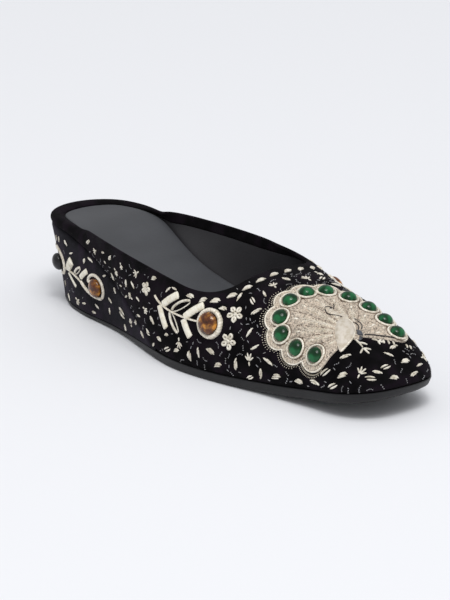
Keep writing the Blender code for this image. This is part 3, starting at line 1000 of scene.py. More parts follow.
@dataclass
class Upper:
    """Velvet wall with a rolled collar edge, and its leather lining."""

    skin: WallSkin
    velvet: float = 1.35          # velvet and padding alone
    facing: float = 4.6           # velvet turned down inside the collar
    foot_round: float = 1.1
    fade: float = 0.5             # over which the inner face steps back
    seam: float = 0.4             # from the facing's edge down to the lining's
    slack: float = 0.08           # between velvet and lining

    def velvet_shell(self) -> Shell:
        """Up the outside, over the edge in half an ellipse and down the inside.

        The inner face steps back by the lining's thickness below the facing.
        """
        climb = np.sin(np.linspace(0.05, 1.0, 42) * np.pi / 2) ** 1.3
        spots = pairs(self.skin.last.columns(12), np.r_[0.0, 0.006, 0.016, 0.03, climb])
        points, _, _, out = self.skin.read(spots)
        run = run_along(points)[..., None]
        outer = points - out * tuck(run, self.foot_round)
        left = run[:, -1:] - run
        step = np.clip((left - self.facing) / self.fade, 0.0, 1.0)
        inner = points - out * (WALL - (WALL - self.velvet) * step)
        inner[:, 0, 2] = points[:, 0, 2]
        half = (outer[:, -1] - inner[:, -1])[:, None] / 2.0
        crown = (outer[:, -1] + inner[:, -1])[:, None] / 2.0
        tip = unit(points[:, -1:] - points[:, -2:-1]) * WALL * 0.4
        turn = np.linspace(0.0, np.pi, 9)[1:-1, None]
        lip = crown + half * np.cos(turn) + tip * np.sin(turn)
        rows = np.concatenate([outer, lip, inner[:, ::-1]], axis=1)
        return Shell.woven(rows[None], loop_rows=True)

    def lining_shell(self) -> Shell:
        """A thin leather wall inside the velvet, up to the facing's edge."""
        places = self.skin.last.columns(10)
        top = self.skin.below_edge(places, self.facing + self.seam)[:, 1]
        shares = top[:, None] * even(34) ** 0.8
        spots = np.stack(np.broadcast_arrays(places[:, None], shares), axis=-1)
        points, _, _, out = self.skin.read(spots)
        back = points - out * (self.velvet + self.slack)
        face = points - out * WALL
        return Shell.woven(np.concatenate([back, face[:, ::-1]], axis=1)[None], loop_rows=True)

    def build(self, bench: Bench) -> None:
        """Make the velvet and the lining."""
        bench.make("upper_velvet", self.velvet_shell(), VELVET, "velvet", ("upper",), CREASE)
        bench.make("lining", self.lining_shell(), LINING, "sock_leather", crease=CREASE)


@dataclass
class Layer(ABC):
    """A layer of the bottom between two heights, closed toward its middle line."""

    last: Last
    end: float = LENGTH
    count: int = 150
    cut: bool = False             # ends in a straight cut instead of a toe
    floor: str = "feather"        # the column of Level that it stands on
    roof: str = "feather"         # and the one that it reaches up to
    gaps: tuple[float, float] = (GAP, 0.0)    # above its floor and below its roof

    def ring(self) -> tuple[Numbers, Section, Numbers]:
        """Places, the last's section at them and the middle line's points beside them."""
        places = self.last.paired(self.end, self.count, self.cut)
        row = self.last.read(places)
        mean = (row.plan + row.plan[::-1]) / 2.0
        spine = mean[:, 0].clip(HEEL_END, self.end if self.cut else self.end - TOE_END)
        middle = mean[:self.count][::-1]
        return places, row, np.c_[spine, np.interp(spine, middle[:, 0], middle[:, 1])]

    def shell(self, edges: list[tuple[Numbers, Numbers]], fill: tuple[float, ...]) -> Shell:
        """Rows up the edge, closed below and above toward the middle line.

        Args:
            edges: for each row up the edge, how far it stands inside the feather
                line and its height, each one number per place.
            fill: shares of the way from the middle line to the edge.

        Returns:
            The closed layer.
        """
        _, row, spine = self.ring()
        plans = [row.plan - row.out * inset[:, None] for inset, _ in edges]
        rows = [np.c_[plan, height] for plan, (_, height) in zip(plans, edges)]
        under = [self.toward(spine, plans[0], share, self.below) for share in fill]
        above = [self.toward(spine, plans[-1], share, self.over) for share in fill[::-1]]
        points = np.stack(under + rows + above)
        return Shell.woven(points[None], loop_sides=not self.cut)

    @staticmethod
    def toward(spine: Numbers, plan: Numbers, share: float,
               height: Callable[[Numbers, float], Numbers]) -> Numbers:
        """Points a share of the way from the middle line to an outline."""
        here = spine + (plan - spine) * share
        return np.c_[here, height(here[:, 0], share)]

    def below(self, along: Numbers, share: float) -> Numbers:
        """Height of its underside, at a share of the way from the middle line."""
        return self.last.layer(self.floor, along) + self.gaps[0]

    def over(self, along: Numbers, share: float) -> Numbers:
        """Height of its top, at a share of the way from the middle line."""
        return self.last.layer(self.roof, along) - self.gaps[1]

    @abstractmethod
    def build(self, bench: Bench) -> None:
        """Make the layer's piece."""


@dataclass
class Outsole(Layer):
    """Thin leather sole with a rounded, painted edge."""

    tucks: tuple = (0.3, 2.0, 2.4)    # how far the tread stands in at 120, 170 mm and the toe
    bottom_round: float = 1.0
    top_round: float = 0.45
    floor: str = "underside"
    roof: str = "sole"
    gaps: tuple[float, float] = (0.0, 0.0)

    def below(self, along: Numbers, share: float) -> Numbers:
        """The tread, with a shallow channel near its edge."""
        return super().below(along, share) + 0.35 * np.exp(-((share - 0.86) / 0.03) ** 2)

    def build(self, bench: Bench) -> None:
        """Round the edge below and above, with the side curving in to the tread."""
        along = self.ring()[1].along
        base = self.last.layer("base_inset", along)
        tread = np.interp(along, (120.0, 170.0, LENGTH), self.tucks)
        low, high = super().below(along, 1.0), self.over(along, 1.0)
        edges = []
        for share in (0.0, 0.03, 0.09, 0.18, 0.3, 0.45, 0.62, 0.8, 0.9, 0.96, 1.0):
            up = share * (high - low)
            soft = tuck(up, self.bottom_round) * 0.7 + tuck(high - low - up, self.top_round)
            edges.append((base + tread * (1.0 - share ** 0.6) + soft, low + up))
        shell = self.shell(edges, (0.0, 0.25, 0.5, 0.7, 0.8, 0.84, 0.86, 0.88, 0.92, 0.97))
        bench.make("outsole_leather", shell, SOLE, "sole_leather", ("outsole",), CREASE)


@dataclass
class Wedge(Layer):
    """Block under heel and waist, its side wrapped in velvet."""

    skin: BlockSkin | None = None
    end: float = WEDGE_END
    count: int = 90
    cut: bool = True
    rounding: float = 0.4
    ease: float = 0.8             # how far its top stands in under the feather line
    eased: float = 3.0            # over which height
    floor: str = "sole"
    gaps: tuple[float, float] = (GAP, GAP)

    def build(self, bench: Bench) -> None:
        """Take the side from the wedge's skin, tucked in at both edges."""
        places, row, spine = self.ring()
        height = self.over(row.along, 1.0) - self.below(row.along, 1.0)
        sides = []
        for share in (0.0, 0.01, 0.03, 0.06, *np.linspace(0.1, 0.9, 17), 0.94, 0.97, 0.99, 1.0):
            spots = np.c_[places, np.full(len(places), share)]
            point, _, _, out = self.skin.read(spots)
            near = np.minimum(share, 1.0 - share) * height
            left = ((1.0 - share) * height / self.eased).clip(0.0, 1.0)
            inset = tuck(near, self.rounding) + self.ease * (1.0 - left) ** 2
            point[:, :2] -= out[:, :2] * inset[:, None]
            sides.append(point)
        under = [self.toward(spine, sides[0][:, :2], share, self.below) for share in (0.0, 0.5)]
        above = [self.toward(spine, sides[-1][:, :2], share, self.over) for share in (0.5, 0.0)]
        points = np.stack(under + sides + above)
        ends = points[:, [0, -1]].copy()
        ends[:, :, 2] = (points[:1, [0, -1], 2] + points[-1:, [0, -1], 2]) / 2.0
        points = np.concatenate([ends[:, :1], points, ends[:, 1:]], axis=1)
        shell = Shell.woven(points[None], loop_rows=True, loop_sides=False)
        # the wedge is dressed in the velvet whose colour is painted lighter with sheen
        bench.make("wedge_velvet", shell, HEEL_VELVET_PAINTED_SHEEN, "velvet", ("wedge",), CREASE)


@dataclass
class Insole(Layer):
    """Leather sock over a padded board, slightly dished, its edge rolled."""

    skin: WallSkin | None = None
    clearance: tuple = (0.4, 1.3)     # to the wall at the sides and at the toe
    rounding: float = 1.3
    dish: float = 0.7
    headroom: float = 1.2         # above its top within which it clears the wall
    smoothings: int = 6           # passes over its outline
    roof: str = "insole"

    def over(self, along: Numbers, share: float) -> Numbers:
        """The foot's face: it sinks toward the middle as one minus the share squared."""
        return super().over(along, share) - self.dish * (1.0 - share ** 2)

    def inset(self, places: Numbers, row: Section) -> Numbers:
        """How far inside the feather line the sock clears the wall beside it."""
        points, _, _, out = self.skin.read(pairs(places, even(40)))
        inner = points - out * WALL
        edge = (points[:, -1:] + inner[:, -1:]) / 2.0
        rows = np.concatenate([points, inner, edge], axis=1)
        ceiling = self.over(row.along, 1.0) + self.headroom
        away = dots(row.plan[:, None] - rows[..., :2], row.out[:, None])[..., 0]
        inward = np.where(rows[..., 2] < ceiling[:, None], away, 0.0).max(axis=1)
        inward += np.interp(row.along, (240.0, 256.0), self.clearance)
        inset = np.r_[inward[-1:], inward, inward[:1]]
        wide = np.maximum(np.maximum(inset[:-2], inset[1:-1]), inset[2:])
        for _ in range(self.smoothings):
            wide = (np.roll(wide, 1) + 2.0 * wide + np.roll(wide, -1)) / 4.0
        return wide

    def build(self, bench: Bench) -> None:
        """Roll the edge over from side to top."""
        places, row, _ = self.ring()
        inset = self.inset(places, row)
        low = self.below(row.along, 1.0)
        high = self.over(row.along, 1.0)
        edges = [(inset, low), (inset, (low + high - self.rounding) / 2.0)]
        for angle in np.linspace(0.0, np.pi / 2, 7):
            edges.append((inset + self.rounding * (1.0 - np.cos(angle)),
                          high - self.rounding * (1.0 - np.sin(angle))))
        shell = self.shell(edges, (0.0, 0.15, 0.3, 0.45, 0.6, 0.75, 0.86, 0.94))
        bench.make("insole_leather", shell, SOCK, "sock_leather", ("insole",), CREASE)


# --- stones ---

@dataclass(frozen=True)
class StoneKind:
    """One kind of domed stone and the cord that holds it."""

    names: tuple[str, ...]
    seats: tuple[Seat, ...]
    radius: float
    height: float
    finish: StoneFinish
    slot: str
    on_block: bool = False        # on the wedge, not on the upper
    lift: float = 1.0

    def dome(self, base: Numbers, out: Numbers, ahead: Numbers) -> Shell:
        """A low girdle, then a crown that is a quarter ellipse turned full circle."""
        climb = np.linspace(0.0, np.pi / 2, 16)
        girdle = 0.2 * self.height
        wide = np.r_[0.0, 0.9, 0.97, np.cos(climb)] * self.radius
        high = np.r_[0.0, 0.0, 0.06 * self.height, girdle + (self.height - girdle) * np.sin(climb)]
        aside = np.cross(ahead, out)
        ring = circle(48)[:, :1] * ahead + circle(48)[:, 1:] * aside
        points = base + ring[None] * wide[:, None, None] + out * high[:, None, None]
        shell = Shell.woven(points[None])
        local = shell.points[shell.faces] - base
        shell.marks = np.stack([local @ ahead, local @ aside], axis=-1)
        return shell

    def build(self, bench: Bench, skin: Skin) -> None:
        """Set one dome on the skin at each seat."""
        spots = skin.find(np.array(self.seats))
        points, around, _, out = skin.read(spots)
        for index, name in enumerate(self.names):
            base = points[index] + out[index] * self.lift
            dome = self.dome(base, out[index], unit(around[index]))
            bench.make(name.replace("stone", "dome") + "_polished", dome, self.finish, self.slot,
                       (name,))


AMBER_FORE = StoneKind(("amber_fore_outer", "amber_fore_inner"), AMBER_FORE_SEATS, 5.4, 4.0,
                       TIGER, "brown_stone")
STONES = (
    StoneKind(tuple(f"green_stone_{number:02d}" for number in range(1, 12)), FAN_SEATS, 3.8, 3.4,
              GREEN, "green_stone"),
    AMBER_FORE,
    StoneKind(("amber_heel_outer", "amber_heel_inner"), AMBER_HEEL_SEATS, 4.9, 3.6, TIGER,
              "brown_stone", True),
    StoneKind(("bead_heel_outer", "bead_heel_inner"), BEAD_SEATS, 4.6, 4.0, PEWTER,
              "dark_bead", True),
)


# --- embroidery ---

class Thread(Enum):
    """What is sewn as one piece: the piece's name and its finish."""

    GROUND = ("fan_ground", PURL)
    CHIPS = ("fan_chips", PURL)
    WING = ("fan_wing", PLUME)
    FRINGE = ("fan_fringe", CREAM_CORD)
    CREAM = ("cream_cords", CREAM_CORD)
    LEAF = ("leaf_satin", LEAF)
    IVORY = ("ivory_stitches", IVORY)
    PALE = ("bezel_rings", PALE_SATIN)
    INK = ("ink_lines", INK)
    UMBER = ("umber_lines", UMBER)
    SLATE = ("bird_slate", SLATE)
    SMOKE = ("smoke_stitches", SMOKE)
    CORD = ("spray_cords", PALE_SATIN)
    PLUME = ("plume_lines", PLUME)


class Cloth:
    """What is sewn so far: shells by thread, and the room that each motif keeps."""

    def __init__(self) -> None:
        """Start with bare cloth."""
        self.shells: dict[Thread, list[Shell]] = {}
        self.points = np.zeros((0, 3))
        self.rooms = np.zeros(0)

    def sew(self, thread: Thread, shell: Shell) -> None:
        """Keep a shell for the piece of one thread."""
        self.shells.setdefault(thread, []).append(shell)

    def take(self, points: Numbers, room: float) -> None:
        """Reserve room round points."""
        points = points.reshape(-1, 3)
        self.points = np.r_[self.points, points]
        self.rooms = np.r_[self.rooms, np.full(len(points), room)]

    def free(self, point: Numbers, own: float) -> bool:
        """Whether a motif with its own room fits at a point."""
        away = np.linalg.norm(self.points - point, axis=1)
        return bool((away > self.rooms + own).all())


# controls of the bird's breast, head, crest and two lines of its back
BIRD_LINES = (
    ((-13.6, 4.4), (-16.6, 1.6), (-19, -2.4), (-23.8, 1.4)),
    ((-23.8, 1.4), (-25.2, 2.4), (-23.4, 4.6), (-21.2, 5.2)),
    ((-22, 5), (-23, 7.2), (-24.6, 7)),
    ((-10.4, 7.2), (-6.6, 9.2), (-3.2, 7.6), (-1.8, 4.6)),
    ((-8.4, 5.2), (-5.4, 6.6), (-3.2, 5.2), (-2.4, 3.2)),
)


@dataclass
class Fan:
    """Padded fan of coiled wire on the vamp: scalloped, with eleven bezels and a bird.

    It is drawn flat round its hub, first axis toward the toe and second toward the
    inner side, and carried onto the vamp along straight walks from the hub.
    """

    skin: WallSkin
    cloth: Cloth
    hub: Seat = Seat(241.9, 8.8, 34.0)
    lobe: tuple[float, float] = (7.6, 5.6)     # radius of the outer and the inmost scallop
    shift: tuple[float, float] = (1.1, 0.2)    # of the scallop outward from its stone
    body: float = 2.0             # radius of the fan round its hub
    pad: float = 1.4              # how far it stands above the velvet
    shoulder: float = 1.7         # over which it rounds down to its edge
    ways: int = 720               # walks out from the hub
    strides: int = 116            # in each walk
    stride: float = 0.5
    bezel: float = 4.65           # radius of the ring round a stone
    arc: float = 5.4              # and of the umber arc under it
    chip_count: int = 2600
    seed: int = 5

    def __post_init__(self) -> None:
        """Walk outward from the hub in every direction and place the scallops."""
        starts = np.repeat(self.skin.find(np.array([self.hub])), self.ways + 1, axis=0)
        heading = self.skin.headings(starts, np.linspace(0.0, TURN, self.ways + 1))
        self.walks = self.skin.trail(starts, heading, self.stride, self.strides)
        self.seats = self.flat_of(np.array(FAN_SEATS))
        share = np.linspace(-1.0, 1.0, len(self.seats)).clip(0.0)
        self.lobes = self.lobe[0] + (self.lobe[1] - self.lobe[0]) * share
        shift = self.shift[0] + (self.shift[1] - self.shift[0]) * share
        centres = self.seats * (1.0 + shift / np.linalg.norm(self.seats, axis=1))[:, None]
        self.distance, self.angle = polar(centres)
        self.between = (self.angle[:-1] + self.angle[1:]) / 2.0
        spread = np.arcsin(self.lobes / self.distance)
        self.start = float(self.angle[-1] - spread[-1])
        self.stop = float(self.angle[0] + spread[0])

    def flat_of(self, points: Numbers) -> Numbers:
        """Flat places of points: the nearest step of the nearest walk."""
        walked = self.skin.at(self.walks)
        away = np.linalg.norm(walked[None] - points[:, None, None], axis=3)
        step, way = np.unravel_index(away.reshape(len(points), -1).argmin(axis=1), walked.shape[:2])
        return spoke(way * TURN / self.ways) * (step * self.stride)[:, None]

    def spots(self, flat: Numbers) -> Numbers:
        """Spots of flat places, blended between the four nearest steps."""
        away, angle = polar(flat)
        away = (away / self.stride).clip(0, self.strides - 0.001)
        way = angle / TURN * self.ways
        step, turn = np.floor(away).astype(int), np.floor(way).astype(int).clip(0, self.ways - 1)
        out, over = (away - step)[..., None], (way - turn)[..., None]
        near, far = [self.walks[row, turn] * (1 - over) + self.walks[row, turn + 1] * over
                     for row in (step, step + 1)]
        return near * (1 - out) + far * out

    def reach(self, angles: Numbers) -> Numbers:
        """How far the edge is from the hub: the far side of the furthest scallop.

        On a ray at angle a, a circle of radius r whose centre is d away at angle b
        ends at d cos(a - b) + sqrt(r^2 - d^2 sin^2(a - b)).
        """
        gap = angles[:, None] - self.angle[None]
        chord = self.lobes ** 2 - (self.distance * np.sin(gap)) ** 2
        far = self.distance * np.cos(gap) + np.sqrt(np.maximum(chord, 0.0))
        hit = (chord > -1e-6) & (np.cos(gap) > 0.0)
        inside = (angles >= self.start) & (angles <= self.stop)
        return np.where(inside, np.where(hit, far, 0.0).max(axis=1), self.body).clip(self.body)

    def depth(self, flat: Numbers) -> Numbers:
        """How far inside the fan's edge flat places are, none of it below 0."""
        away, angle = polar(flat)
        edge = self.reach(angle.ravel()).reshape(angle.shape) - away
        first = away * np.sin((angle - self.start).clip(0.0, np.pi / 2))
        second = away * np.sin((self.stop - angle).clip(0.0, np.pi / 2))
        inside = (angle >= self.start) & (angle <= self.stop)
        inner = np.where(inside, np.minimum(np.minimum(edge, first), second), 0.0)
        return np.maximum(inner, self.body - away).clip(0.0)

    def height(self, flat: Numbers) -> Numbers:
        """Height of the padding: a quarter circle in from the edge, with quilted rays."""
        depth = self.depth(flat)
        away, angle = polar(flat)
        full = 1.0 - (depth / self.shoulder).clip(0.0, 1.0)
        off = np.abs(away[..., None] * (angle[..., None] - self.between)).min(axis=-1)
        quilt = 0.45 * np.exp(-(off / 0.7) ** 2) * ((away > 9.0) & (depth > 3.0))
        return self.pad * np.sqrt(1.0 - full ** 2) - quilt

    def rays(self, angles: Numbers, near: Numbers | float, far: Numbers | float,
             shares: Numbers) -> Numbers:
        """Flat lines straight out from the hub, each between two distances."""
        near, far = np.broadcast_to(near, angles.shape), np.broadcast_to(far, angles.shape)
        away = near[:, None] + (far - near)[:, None] * shares
        return away[..., None] * spoke(angles)[:, None]

    def couch(self, thread: Thread, flat: Numbers, gauge: Gauge, fullness: Numbers | float = 1.0,
              loop: bool = False, above: float = 0.0, flush: float | None = None) -> None:
        """Sew threads along flat lines, above the padding or flush with one height."""
        lift = self.height(flat) + above if flush is None else flush
        self.cloth.sew(thread, lay(self.skin, self.spots(flat), gauge, fullness, loop, lift))

    def ground(self) -> None:
        """The padded ground, from the hub out to the edge and back underneath."""
        rng = np.random.default_rng(self.seed)
        front = np.linspace(self.stop, self.start + TURN, 60)[1:-1]
        angles = np.r_[np.linspace(self.start, self.stop, 420), front]
        shares = np.r_[np.linspace(0.0, 0.80, 52), np.linspace(0.81, 1.0, 26)]
        flat = self.rays(angles, 0.0, self.reach(angles), shares)
        height = self.height(flat)
        grain = rng.normal(0.0, 0.10, height.shape) * (shares > 0.05) * (height > 0.3)
        points, _, _, out = self.skin.read(self.spots(flat))
        top = points + out * (height + grain)[..., None]
        foot = (points - out * 0.35)[:, ::-6]
        foot[:, -1] = points[:, 0] - out[:, 0] * 0.35
        rows = np.concatenate([top, foot], axis=1)[None].transpose(0, 2, 1, 3)
        self.cloth.sew(Thread.GROUND, Shell.woven(rows))

    def chips(self) -> None:
        """Chips of coiled wire strewn over the padding, clear of stones and edge."""
        rng = np.random.default_rng(self.seed + 1)
        angles = rng.uniform(self.start + 0.05, self.stop - 0.05, CANDIDATES)
        away = np.sqrt(rng.uniform(0.01, 1.0, CANDIDATES)) * 48.0
        flat = away[:, None] * spoke(angles)
        inside = away < self.reach(angles) - 1.9
        away = np.linalg.norm(flat[:, None] - self.seats[None], axis=2).min(axis=1)
        stones = away > self.bezel + 1.25
        flat = flat[inside & stones][:self.chip_count]
        lean = np.arctan2(flat[:, 1], flat[:, 0]) + rng.choice([0.0, np.pi / 2], len(flat))
        lean += rng.normal(0.0, 0.45, len(flat))
        half = rng.uniform(0.45, 0.8, len(flat))[:, None] * np.linspace(-1.0, 1.0, 5)
        lines = self.spots(flat[:, None] + half[..., None] * spoke(lean)[:, None])
        rise = self.height(flat)[:, None] - 0.05
        chips = lay(self.skin, lines, Gauge(0.25, 0.34, 5), blunt(5, 0.3), lift=rise)
        self.cloth.sew(Thread.CHIPS, chips)

    def bezels(self) -> None:
        """A bright ring round each stone, an umber arc under it and hatching beyond."""
        rings = self.seats[:, None] + circle(64) * self.bezel
        self.couch(Thread.PALE, rings, Gauge(0.54, 0.95, 9, 2, 3.4, 0.05), loop=True,
                   flush=self.pad - 0.1)
        arc = spoke(np.linspace(1.1, TURN - 1.1, 48)) * self.arc
        self.couch(Thread.UMBER, self.seats[:, None] + turned(arc, self.angle),
                   Gauge(0.2, 0.25, 5), blunt(48, 0.04), flush=self.pad)
        lean = self.angle[:, None] + np.linspace(-1.35, 1.35, 13)
        hatch = spoke(lean)[:, :, None] * np.linspace(5.8, 7.4, 4)[:, None]
        hatch = (self.seats[:, None, None] + hatch).reshape(-1, 4, 2)
        inside = self.depth(hatch[:, -1]) > 0.3
        self.couch(Thread.CREAM, hatch[inside], Gauge(0.24, 0.3, 5), blunt(4, 0.3))

    def rim(self) -> None:
        """Plied cord along the scallops."""
        angles = np.linspace(self.start + 0.02, self.stop - 0.02, 620)
        flat = spoke(angles) * (self.reach(angles) - 0.55)[:, None]
        self.couch(Thread.PALE, flat[None], Gauge(0.48, 0.5, 7, 2, 1.4, 0.1), blunt(620, 0.004))

    def quills(self) -> None:
        """A pair of raised lines toward each stone that ends in a pale knot.

        Umber lines part the feathers, and short barbs slant off each quill.
        """
        twins = np.r_[self.angle - 0.018, self.angle + 0.018]
        lines = self.rays(twins, 10.0, np.tile(self.distance - 11.5, 2), even(24))
        self.couch(Thread.PALE, lines, Gauge(0.19, 0.34, 6, 2, 0.8), blunt(24))
        knots = self.rays(self.angle, self.distance - 11.6, self.distance - 8.4, even(9))
        self.couch(Thread.PALE, knots, Gauge(0.64, 0.6, 8), swell(9, 0.8))
        reach = self.reach(self.between)
        self.couch(Thread.UMBER, self.rays(self.between, 12.0, reach - 5.0, even(24)),
                   Gauge(0.2, 0.24, 5), blunt(24))
        seeds = self.rays(self.between, reach - 9.6, reach - 8.0, even(7))
        self.couch(Thread.PALE, seeds, Gauge(0.6, 0.6, 7), swell(7, 0.7))
        barbs = []
        for side in (-1.0, 1.0):
            end = spoke(self.angle + side * 0.55)[:, None] * 2.0 * even(5)[:, None]
            for away in np.arange(12.5, 27.0, 1.7):
                line = away * spoke(self.angle + side * 0.028)[:, None] + end
                barbs.append(line[away < self.distance - 12.5])
        self.couch(Thread.CREAM, np.concatenate(barbs), Gauge(0.24, 0.34, 5), blunt(5, 0.3))

    def fringe(self) -> None:
        """Two rows of tiny stitches that stand out from the outer side's scallops."""
        for row, (gap, length, count) in enumerate(((0.7, 1.3, 120), (2.5, 0.8, 96))):
            angles = np.linspace(self.start + 1.1, self.stop - 0.02, count) + 0.01 * row
            near = self.reach(angles) + gap
            self.couch(Thread.FRINGE, self.rays(angles, near, near + length, even(4)),
                       Gauge(0.2, 0.26, 5), blunt(4, 0.4), flush=0.0)

    def wing(self) -> None:
        """The bird's folded wing: a leaf of padded satin, ribbed along its length.

        Half-width is the sine of half a turn to a power; height is a half ellipse
        across it, cut by the vein, and a bright cord follows the outline.
        """
        root, way, widest = np.array([-13.0, 4.4]), np.array([16.7, -16.4]), 4.5
        share = even(90)
        side = unit(np.array([-way[1], way[0]]))
        spine = root + way * share[:, None] + side * (0.9 * np.sin(share * np.pi))[:, None]
        width = widest * np.sin(share ** 0.76 * np.pi).clip(0.0)[:, None] ** 0.85
        across, up = circle(48).T
        flat = spine[:, None] + side * (width * across)[..., None]
        relief = 1.7 + 0.11 * np.cos(across * 17.0) - 0.4 * np.exp(-(across / 0.10) ** 2)
        puff = np.sqrt(np.maximum(1.0 - across ** 2, 0.0)) ** 0.6
        foot = self.pad * 0.8
        high = foot + np.where(up > 0.0, width / widest * relief * puff, -0.3 * puff)
        points, _, _, out = self.skin.read(self.spots(flat))
        self.cloth.sew(Thread.WING, Shell.woven((points + out * high[..., None])[None],
                                               np.linspace(0.0, 24.0, 90)[None]))
        for toward, half, thread in ((-1.0, 0.28, Thread.PLUME), (1.0, 0.5, Thread.PALE)):
            self.couch(thread, (spine + toward * side * width)[None],
                       Gauge(half, 0.75, 7, 2, 1.4, 0.1), blunt(90, 0.03), flush=foot)

    def bird(self) -> None:
        """Neck, outlines, tail covert and eye of the bird, as a plain figure."""
        neck = bowed(((-12.0, 5.2), (-15.0, 6.0), (-18.5, 1.2), (-22.2, 3.4)), 40)
        slim = np.interp(even(40), (0, 0.1, 0.45, 0.8, 0.93, 1.0), (0.0, 1.3, 1.0, 0.75, 1.1, 0.0))
        self.couch(Thread.PLUME, neck[None], Gauge(1.15, 0.6, 10), slim)
        drawn = np.stack([bowed(controls, 24) for controls in BIRD_LINES])
        self.couch(Thread.INK, drawn, Gauge(0.29, 0.4, 6, 2, 0.9), blunt(24), above=0.1)
        covert = bowed(((-3.0, 2.8), (0.4, 3.2), (2.8, 0.2)), 24)[None]
        self.couch(Thread.SLATE, covert, Gauge(1.5, 0.9, 8), swell(24, 0.7))
        eye = [(-21.8, 3.3)] + 0.32 * circle(12)
        self.couch(Thread.INK, eye[None], Gauge(0.3, 0.4, 6), loop=True, above=0.8)

    def edging(self) -> None:
        """A dark line and small loops along the fan's straight inner edge, and feet."""
        way = spoke(self.start)
        beside = np.array([way[1], -way[0]])
        line = way * np.linspace(4.0, self.distance[-1] - 1.0, 40)[:, None] - beside * 0.9
        self.couch(Thread.INK, line[None], Gauge(0.4, 0.5, 6, 2, 1.0), blunt(40, 0.05),
                   flush=self.pad * 0.9)
        threads = []
        for away in (13.0, 15.5, 18.0, 25.0, 27.0):
            start = way * away + beside * 0.3
            threads.append(bowed([start, start + beside * 1.2 + way * 0.9,
                                  start + beside * 2.6 + way * 0.5], 12))
        for root, end, reach in (((0.6, -1.2), (7.6, -1.8), 4.6), ((4.6, 6.2), (7.0, 8.2), 2.8)):
            root, end = np.array(root), np.array(end)
            threads.append(bowed([root, (root + end) / 2.0 + [0.0, 0.8], end], 12))
            for lean in (-0.95, 0.15, 0.9):
                toe = turned(unit(end - root)[None], lean)[0] * reach * (1.0 - 0.15 * abs(lean))
                threads.append(bowed([end, end + toe], 12))
        threads.append(bowed(((3.4, -1.6), (5.0, 0.8), (7.0, 1.6)), 12))
        self.couch(Thread.IVORY, np.stack(threads), Gauge(0.55, 0.6, 6), swell(12, 0.4), flush=0.0)

    def build(self) -> None:
        """Sew the fan, layer over layer, and reserve the cloth that it covers."""
        for layer in (self.ground, self.chips, self.wing, self.bezels, self.rim, self.quills,
                      self.fringe, self.bird, self.edging):
            layer()
        angles = self.start + np.mod(np.linspace(0.0, TURN, 121) - self.start, TURN)
        reach = np.maximum(self.reach(angles), 13.0)
        flat = self.rays(angles, 0.0, reach, np.linspace(0.2, 1.0, 12))
        self.cloth.take(self.skin.at(self.spots(flat)), 3.4)


class Leaf(NamedTuple):
    """One leaf of a spray, drawn flat from the spray's root."""

    start: tuple[float, float]    # toward the spray's tip, and to its upper side
    length: float
    angle: float                  # from the spine, in degrees
    half: float = 1.95            # of its width
    bare: bool = False            # only its outline is sewn


class Cord(NamedTuple):
    """A couched cord of a spray, steered by control points."""

    half: float                   # of its width
    controls: tuple[tuple[float, float], ...]


FORE_LEAVES = (
    Leaf((6, -0.8), 13, 43), Leaf((3.4, -1.8), 12.4, -49),
    Leaf((13.7, -1.1), 13.4, 40, 1.7, True), Leaf((12.6, -1.9), 11.4, -45, 1.5, True),
    Leaf((22.8, -1.3), 14.2, 46), Leaf((22.4, -2.2), 9.8, -46),
)
FORE_CORDS = (Cord(0.5, ((-1.8, 1.6), (4, -3.4), (22, -1.8), (31.5, 0))),)
HEEL_LEAVES = (
    Leaf((4.6, 1.4), 7.4, 50, 2.6), Leaf((12.8, 1), 7.4, 40, 1.1, True),
    Leaf((18.6, 0.6), 9, 40, 1.55), Leaf((4.6, -1), 10.2, -31, 1),
)
HEEL_CORDS = (
    Cord(0.5, ((-0.5, 0), (8, 1.4), (15, -0.4), (20, -1.8))),
    Cord(0.95, ((-12.5, 8.6), (-5, 8.2), (0.8, 4.6), (0.6, -1.4), (-3.4, -5), (-8.6, -5.4))),
    Cord(0.9, ((19, -1.2), (23, -4), (31, -7.2), (39.8, -4.8))),
    Cord(0.9, ((39.8, -4.8), (44.6, 0.5), (41.5, 8.2), (33.5, 8.4), (27.6, 7.8), (23.6, 2.4),
               (27.4, -1.6), (29, 2.4))),
)


